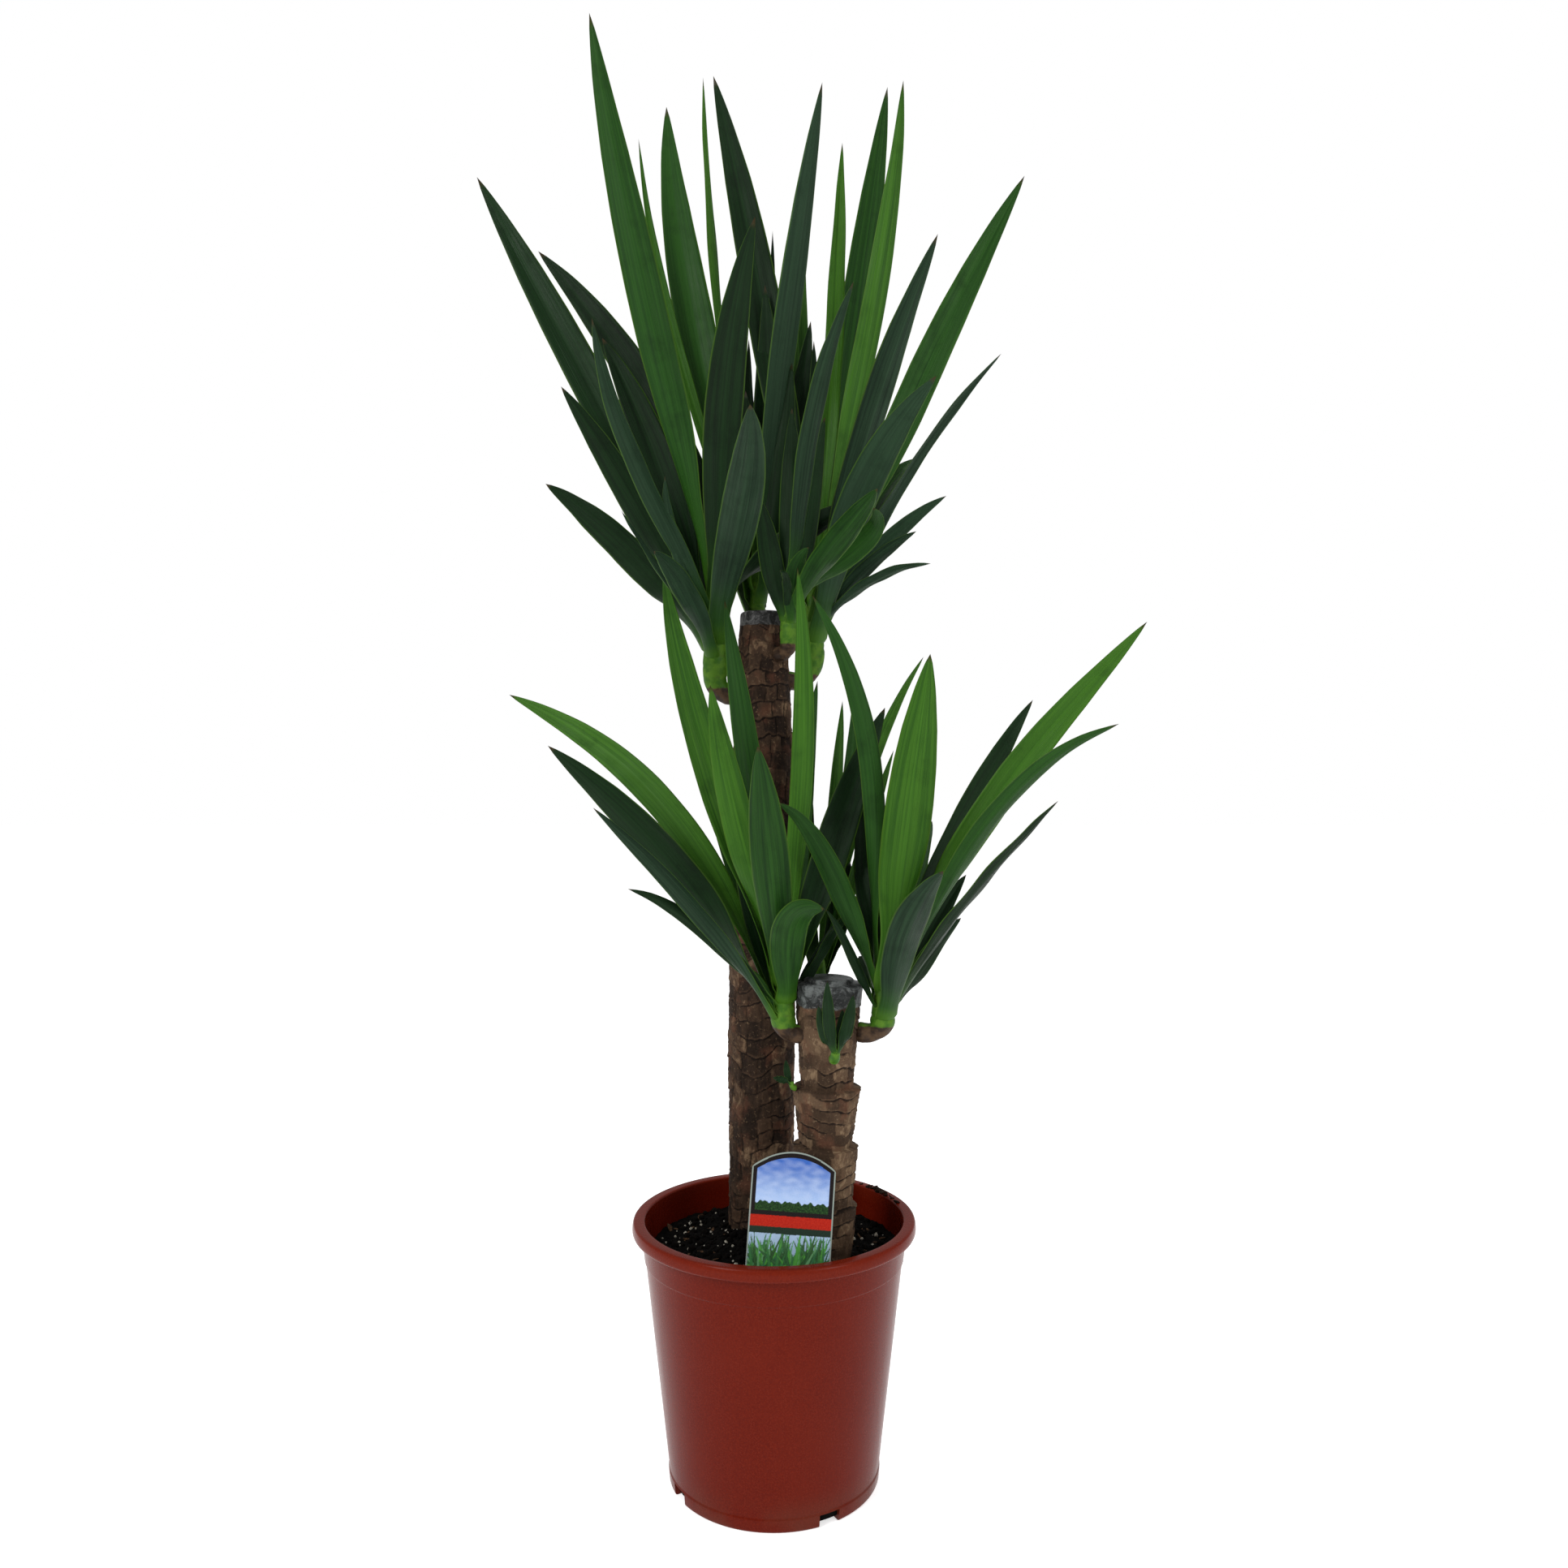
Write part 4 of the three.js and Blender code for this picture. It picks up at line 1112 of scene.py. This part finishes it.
# The print, in millimetres: its pale edge, the sky's dark frame, and where each panel starts.
EDGE_SIDE, EDGE_TOP = 1.0, 1.1
FRAME_SIDE, FRAME_TOP, FRAME_LOW = 3.5, 4.0, 47
SKY_LOW, BAND_LOW, STRIP_LOW, HEDGE_HEIGHT = 44, 36.5, 32, 53


def over(under, top, share):
    return tuple(a + (b - a) * max(0.0, min(1.0, share)) for a, b in zip(under, top))


def stroke_leaves(count, seed, low, reach):
    """Pointed leaf shapes for the lower picture: start, end, width and colour."""
    rng = random.Random(seed)
    out = []
    for _ in range(count):
        foot = rng.uniform(-24, 24)
        angle = math.radians(rng.gauss(90 - foot * 0.9, 24))
        length = rng.uniform(*reach)
        green = rng.choice([(0.008, 0.05, 0.02), (0.015, 0.11, 0.03), (0.05, 0.25, 0.03),
                            (0.01, 0.08, 0.04), (0.10, 0.26, 0.12), (0.004, 0.025, 0.010)])
        out.append((foot, low + rng.uniform(-2, 6), math.cos(angle) * length,
                    math.sin(angle) * length, rng.uniform(0.8, 2.2), green))
    return out


picture_leaves = stroke_leaves(170, 21, 6, (9, 27))


def picture(x, y):
    """The printed colour at a place on the card, in millimetres from the middle of its foot.

    The print is a plain sky over a hedge, a red band, and leaf shapes, with no lettering.
    """
    half = LABEL_WIDTH / 2
    top = LABEL_HEIGHT - LABEL_ARCH * (x / half) ** 2
    if half - abs(x) < EDGE_SIDE or top - y < EDGE_TOP:
        return (0.24, 0.28, 0.25)
    if y > SKY_LOW:
        if half - abs(x) < FRAME_SIDE or top - y < FRAME_TOP or y < FRAME_LOW:
            return (0.010, 0.007, 0.007)
        hedge = HEDGE_HEIGHT + 3 * noise_at(x * 0.35, 2.0, 0.0)
        if y < hedge:
            return over((0.006, 0.020, 0.007), (0.03, 0.09, 0.02), noise_at(x, y, 7) + 0.3)
        sky = over((0.34, 0.47, 0.74), (0.040, 0.115, 0.42), (y - 56) / 22)
        cloud = 0.28 * (noise_at(x * 0.16, y * 0.3, 3) + 0.4)
        return over(sky, (0.6, 0.68, 0.84), cloud)
    if y > BAND_LOW:
        return over((0.36, 0.012, 0.005), (0.46, 0.022, 0.008), noise_at(x, y, 0) + 0.3)
    if y > STRIP_LOW:
        return (0.012, 0.026, 0.016)
    color = over((0.16, 0.30, 0.32), (0.36, 0.48, 0.66), y / 34 + 0.3 * noise.noise(
        Vector((x * 0.2, y * 0.2, 5))))
    if y < 14:
        color = over(color, (0.012, 0.045, 0.02), (18 - y) / 8 - abs(x) / 40)
    for fx, fy, lx, ly, width, green in picture_leaves:
        length2 = lx * lx + ly * ly
        t = ((x - fx) * lx + (y - fy) * ly) / length2
        if 0 < t < 1:
            away = abs((x - fx) * ly - (y - fy) * lx) / math.sqrt(length2)
            if away < width * (1 - t) ** 0.7 * 0.75 + 0.1:
                color = over(green, (0.2, 0.45, 0.15), 0.2 * (1 - away / width))
    return color


def fine_label():
    """The arched card on its pointed stake, with its print held in the mesh."""
    columns, rows, thick = LABEL_COLUMNS, LABEL_ROWS, LABEL_HALF_THICK
    half = LABEL_WIDTH / 2
    local, ink = [], []
    stake_low = -STAKE_LENGTH

    def corner_at(row, column):
        return row * (columns + 1) + column

    for row in range(rows + 1):
        share = row / rows
        for column in range(columns + 1):
            across = 2 * column / columns - 1
            x = across * half
            top = LABEL_HEIGHT - LABEL_ARCH * across ** 2
            y = share * top
            corner = 1 - min(1.0, (half - abs(x)) / 2.0)
            if share > 0.98:
                y -= corner ** 2 * 0.8
            local.append((x, y))
            ink.append(picture(x, y))
    front = [(x, thick, y) for x, y in local]
    faces = []
    for row in range(rows):
        for column in range(columns):
            a, b = corner_at(row, column), corner_at(row, column + 1)
            c, d = corner_at(row + 1, column + 1), corner_at(row + 1, column)
            faces.append((a, b, c, d))
    count = len(front)
    points = [(x, -thick, z) for x, _, z in front] + [(x, thick, z) for x, _, z in front]
    back = [tuple(count + k for k in reversed(face)) for face in faces]
    plain = (0.60, 0.62, 0.60)
    ink = ink + [plain] * count
    border = [corner_at(0, c) for c in range(columns + 1)]
    border += [corner_at(r, columns) for r in range(1, rows + 1)]
    border += [corner_at(rows, c) for c in range(columns - 1, -1, -1)]
    border += [corner_at(r, 0) for r in range(rows - 1, 0, -1)]
    rim = [(border[k], count + border[k], count + border[(k + 1) % len(border)],
            border[(k + 1) % len(border)]) for k in range(len(border))]
    faces = faces + back + rim
    stake_half = STAKE_WIDTH / 2
    outline = [(-stake_half, 1), (-stake_half, stake_low * STAKE_SHOULDER), (-1.2, stake_low + 0.8),
               (0, stake_low), (1.2, stake_low + 0.8), (stake_half, stake_low * STAKE_SHOULDER),
               (stake_half, 1)]
    start = len(points)
    inset = thick * 0.9
    points += [(x, -inset, z) for x, z in outline] + [(x, inset, z) for x, z in outline]
    ink += [plain] * (2 * len(outline))
    many = len(outline)
    faces.append(tuple(range(start, start + many)))
    faces.append(tuple(range(start + 2 * many - 1, start + many - 1, -1)))
    for k in range(many):
        j = (k + 1) % many
        faces.append((start + j, start + k, start + many + k, start + many + j))
    return points, faces, ink


def place_label(points):
    """Stands the card where the CAD label is: turned, leaned back, and moved to its box."""
    turn, lean = math.radians(LABEL_TURN), math.radians(-LABEL_LEAN)
    out = []
    for x, y, z in np.asarray(points, float):
        x, z = x * math.cos(turn) + z * math.sin(turn), -x * math.sin(turn) + z * math.cos(turn)
        y, z = y * math.cos(lean) - z * math.sin(lean), y * math.sin(lean) + z * math.cos(lean)
        out.append((x, y, z))
    out = np.array(out) * MM
    low, high = (np.array(corner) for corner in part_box("plant_label"))
    return out + (low + high) / 2 - (out.min(axis=0) + out.max(axis=0)) / 2


label_points, label_faces, label_ink = fine_label()
label = make_object("fine_label", place_label(label_points), label_faces, label_material(),
                    {"ink": label_ink}, smooth=False)
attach(label, "root")
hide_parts("plant_label")


# ---------------------------------------------------------------- stage, light and camera

# The sky lights the plant by this share of what the camera sees.
AMBIENT = 0.5
FLOOR_HALF_SPAN = 14.0
# Each lamp's name, place, target and size in metres, and its power in watts.
LAMPS = [
    ("key", (-1.5, -1.6, 1.9), (0, 0, 0.6), (0.7, 1.1), 36),
    ("fill", (1.6, -1.5, 1.3), (0, 0, 0.4), (0.6, 1.1), 16),
    ("crown", (0.3, 0.6, 2.6), (0, 0, 0.7), (1.2, 1.2), 16),
]
CAMERA_PLACE = (0.0073, -0.9115, 0.513)
LENS_MM, SENSOR_MM = 28, 36


def area_light(name, place, target, size, power):
    data = bpy.data.lights.new(name, "AREA")
    data.shape = "RECTANGLE"
    data.size, data.size_y = size
    data.energy = power
    item = bpy.data.objects.new(name, data)
    item.location = place
    item.rotation_euler = (Vector(target) - Vector(place)).to_track_quat("-Z", "Y").to_euler()
    bpy.context.scene.collection.objects.link(item)


floor_nodes = Nodes("floor_pale")
floor_mottle = floor_nodes.noise(floor_nodes.place(), 3.0)
floor_surface = floor_nodes.finish(
    floor_nodes.mix(floor_mottle, (0.93, 0.93, 0.93), (0.95, 0.95, 0.95)), 0.9,
    Emission_Color=(1, 1, 1, 1), Emission_Strength=0.55)
floor_corners = [(x * FLOOR_HALF_SPAN, y * FLOOR_HALF_SPAN, 0)
                 for x, y in ((-1, -1), (1, -1), (1, 1), (-1, 1))]
floor = make_object("floor", floor_corners, [(0, 1, 2, 3)], floor_surface)

world = bpy.data.worlds.new("studio")
bpy.context.scene.world = world
world.use_nodes = True
sky = world.node_tree.nodes["Background"]
sky.inputs[0].default_value = (1, 1, 1, 1)
seen = world.node_tree.nodes.new("ShaderNodeLightPath").outputs["Is Camera Ray"]
sky_strength = world.node_tree.nodes.new("ShaderNodeMath")
sky_strength.operation = "MULTIPLY_ADD"
world.node_tree.links.new(seen, sky_strength.inputs[0])
sky_strength.inputs[1].default_value = 1 - AMBIENT
sky_strength.inputs[2].default_value = AMBIENT
world.node_tree.links.new(sky_strength.outputs[0], sky.inputs[1])
for lamp in LAMPS:
    area_light(*lamp)
bpy.context.scene.view_settings.view_transform = "Standard"

camera_data = bpy.data.cameras.new("camera")
camera_data.lens = LENS_MM
camera_data.sensor_width = SENSOR_MM
camera = bpy.data.objects.new("camera", camera_data)
camera.location = CAMERA_PLACE
camera.rotation_euler = (math.pi / 2, 0, 0)
bpy.context.scene.collection.objects.link(camera)
bpy.context.scene.camera = camera
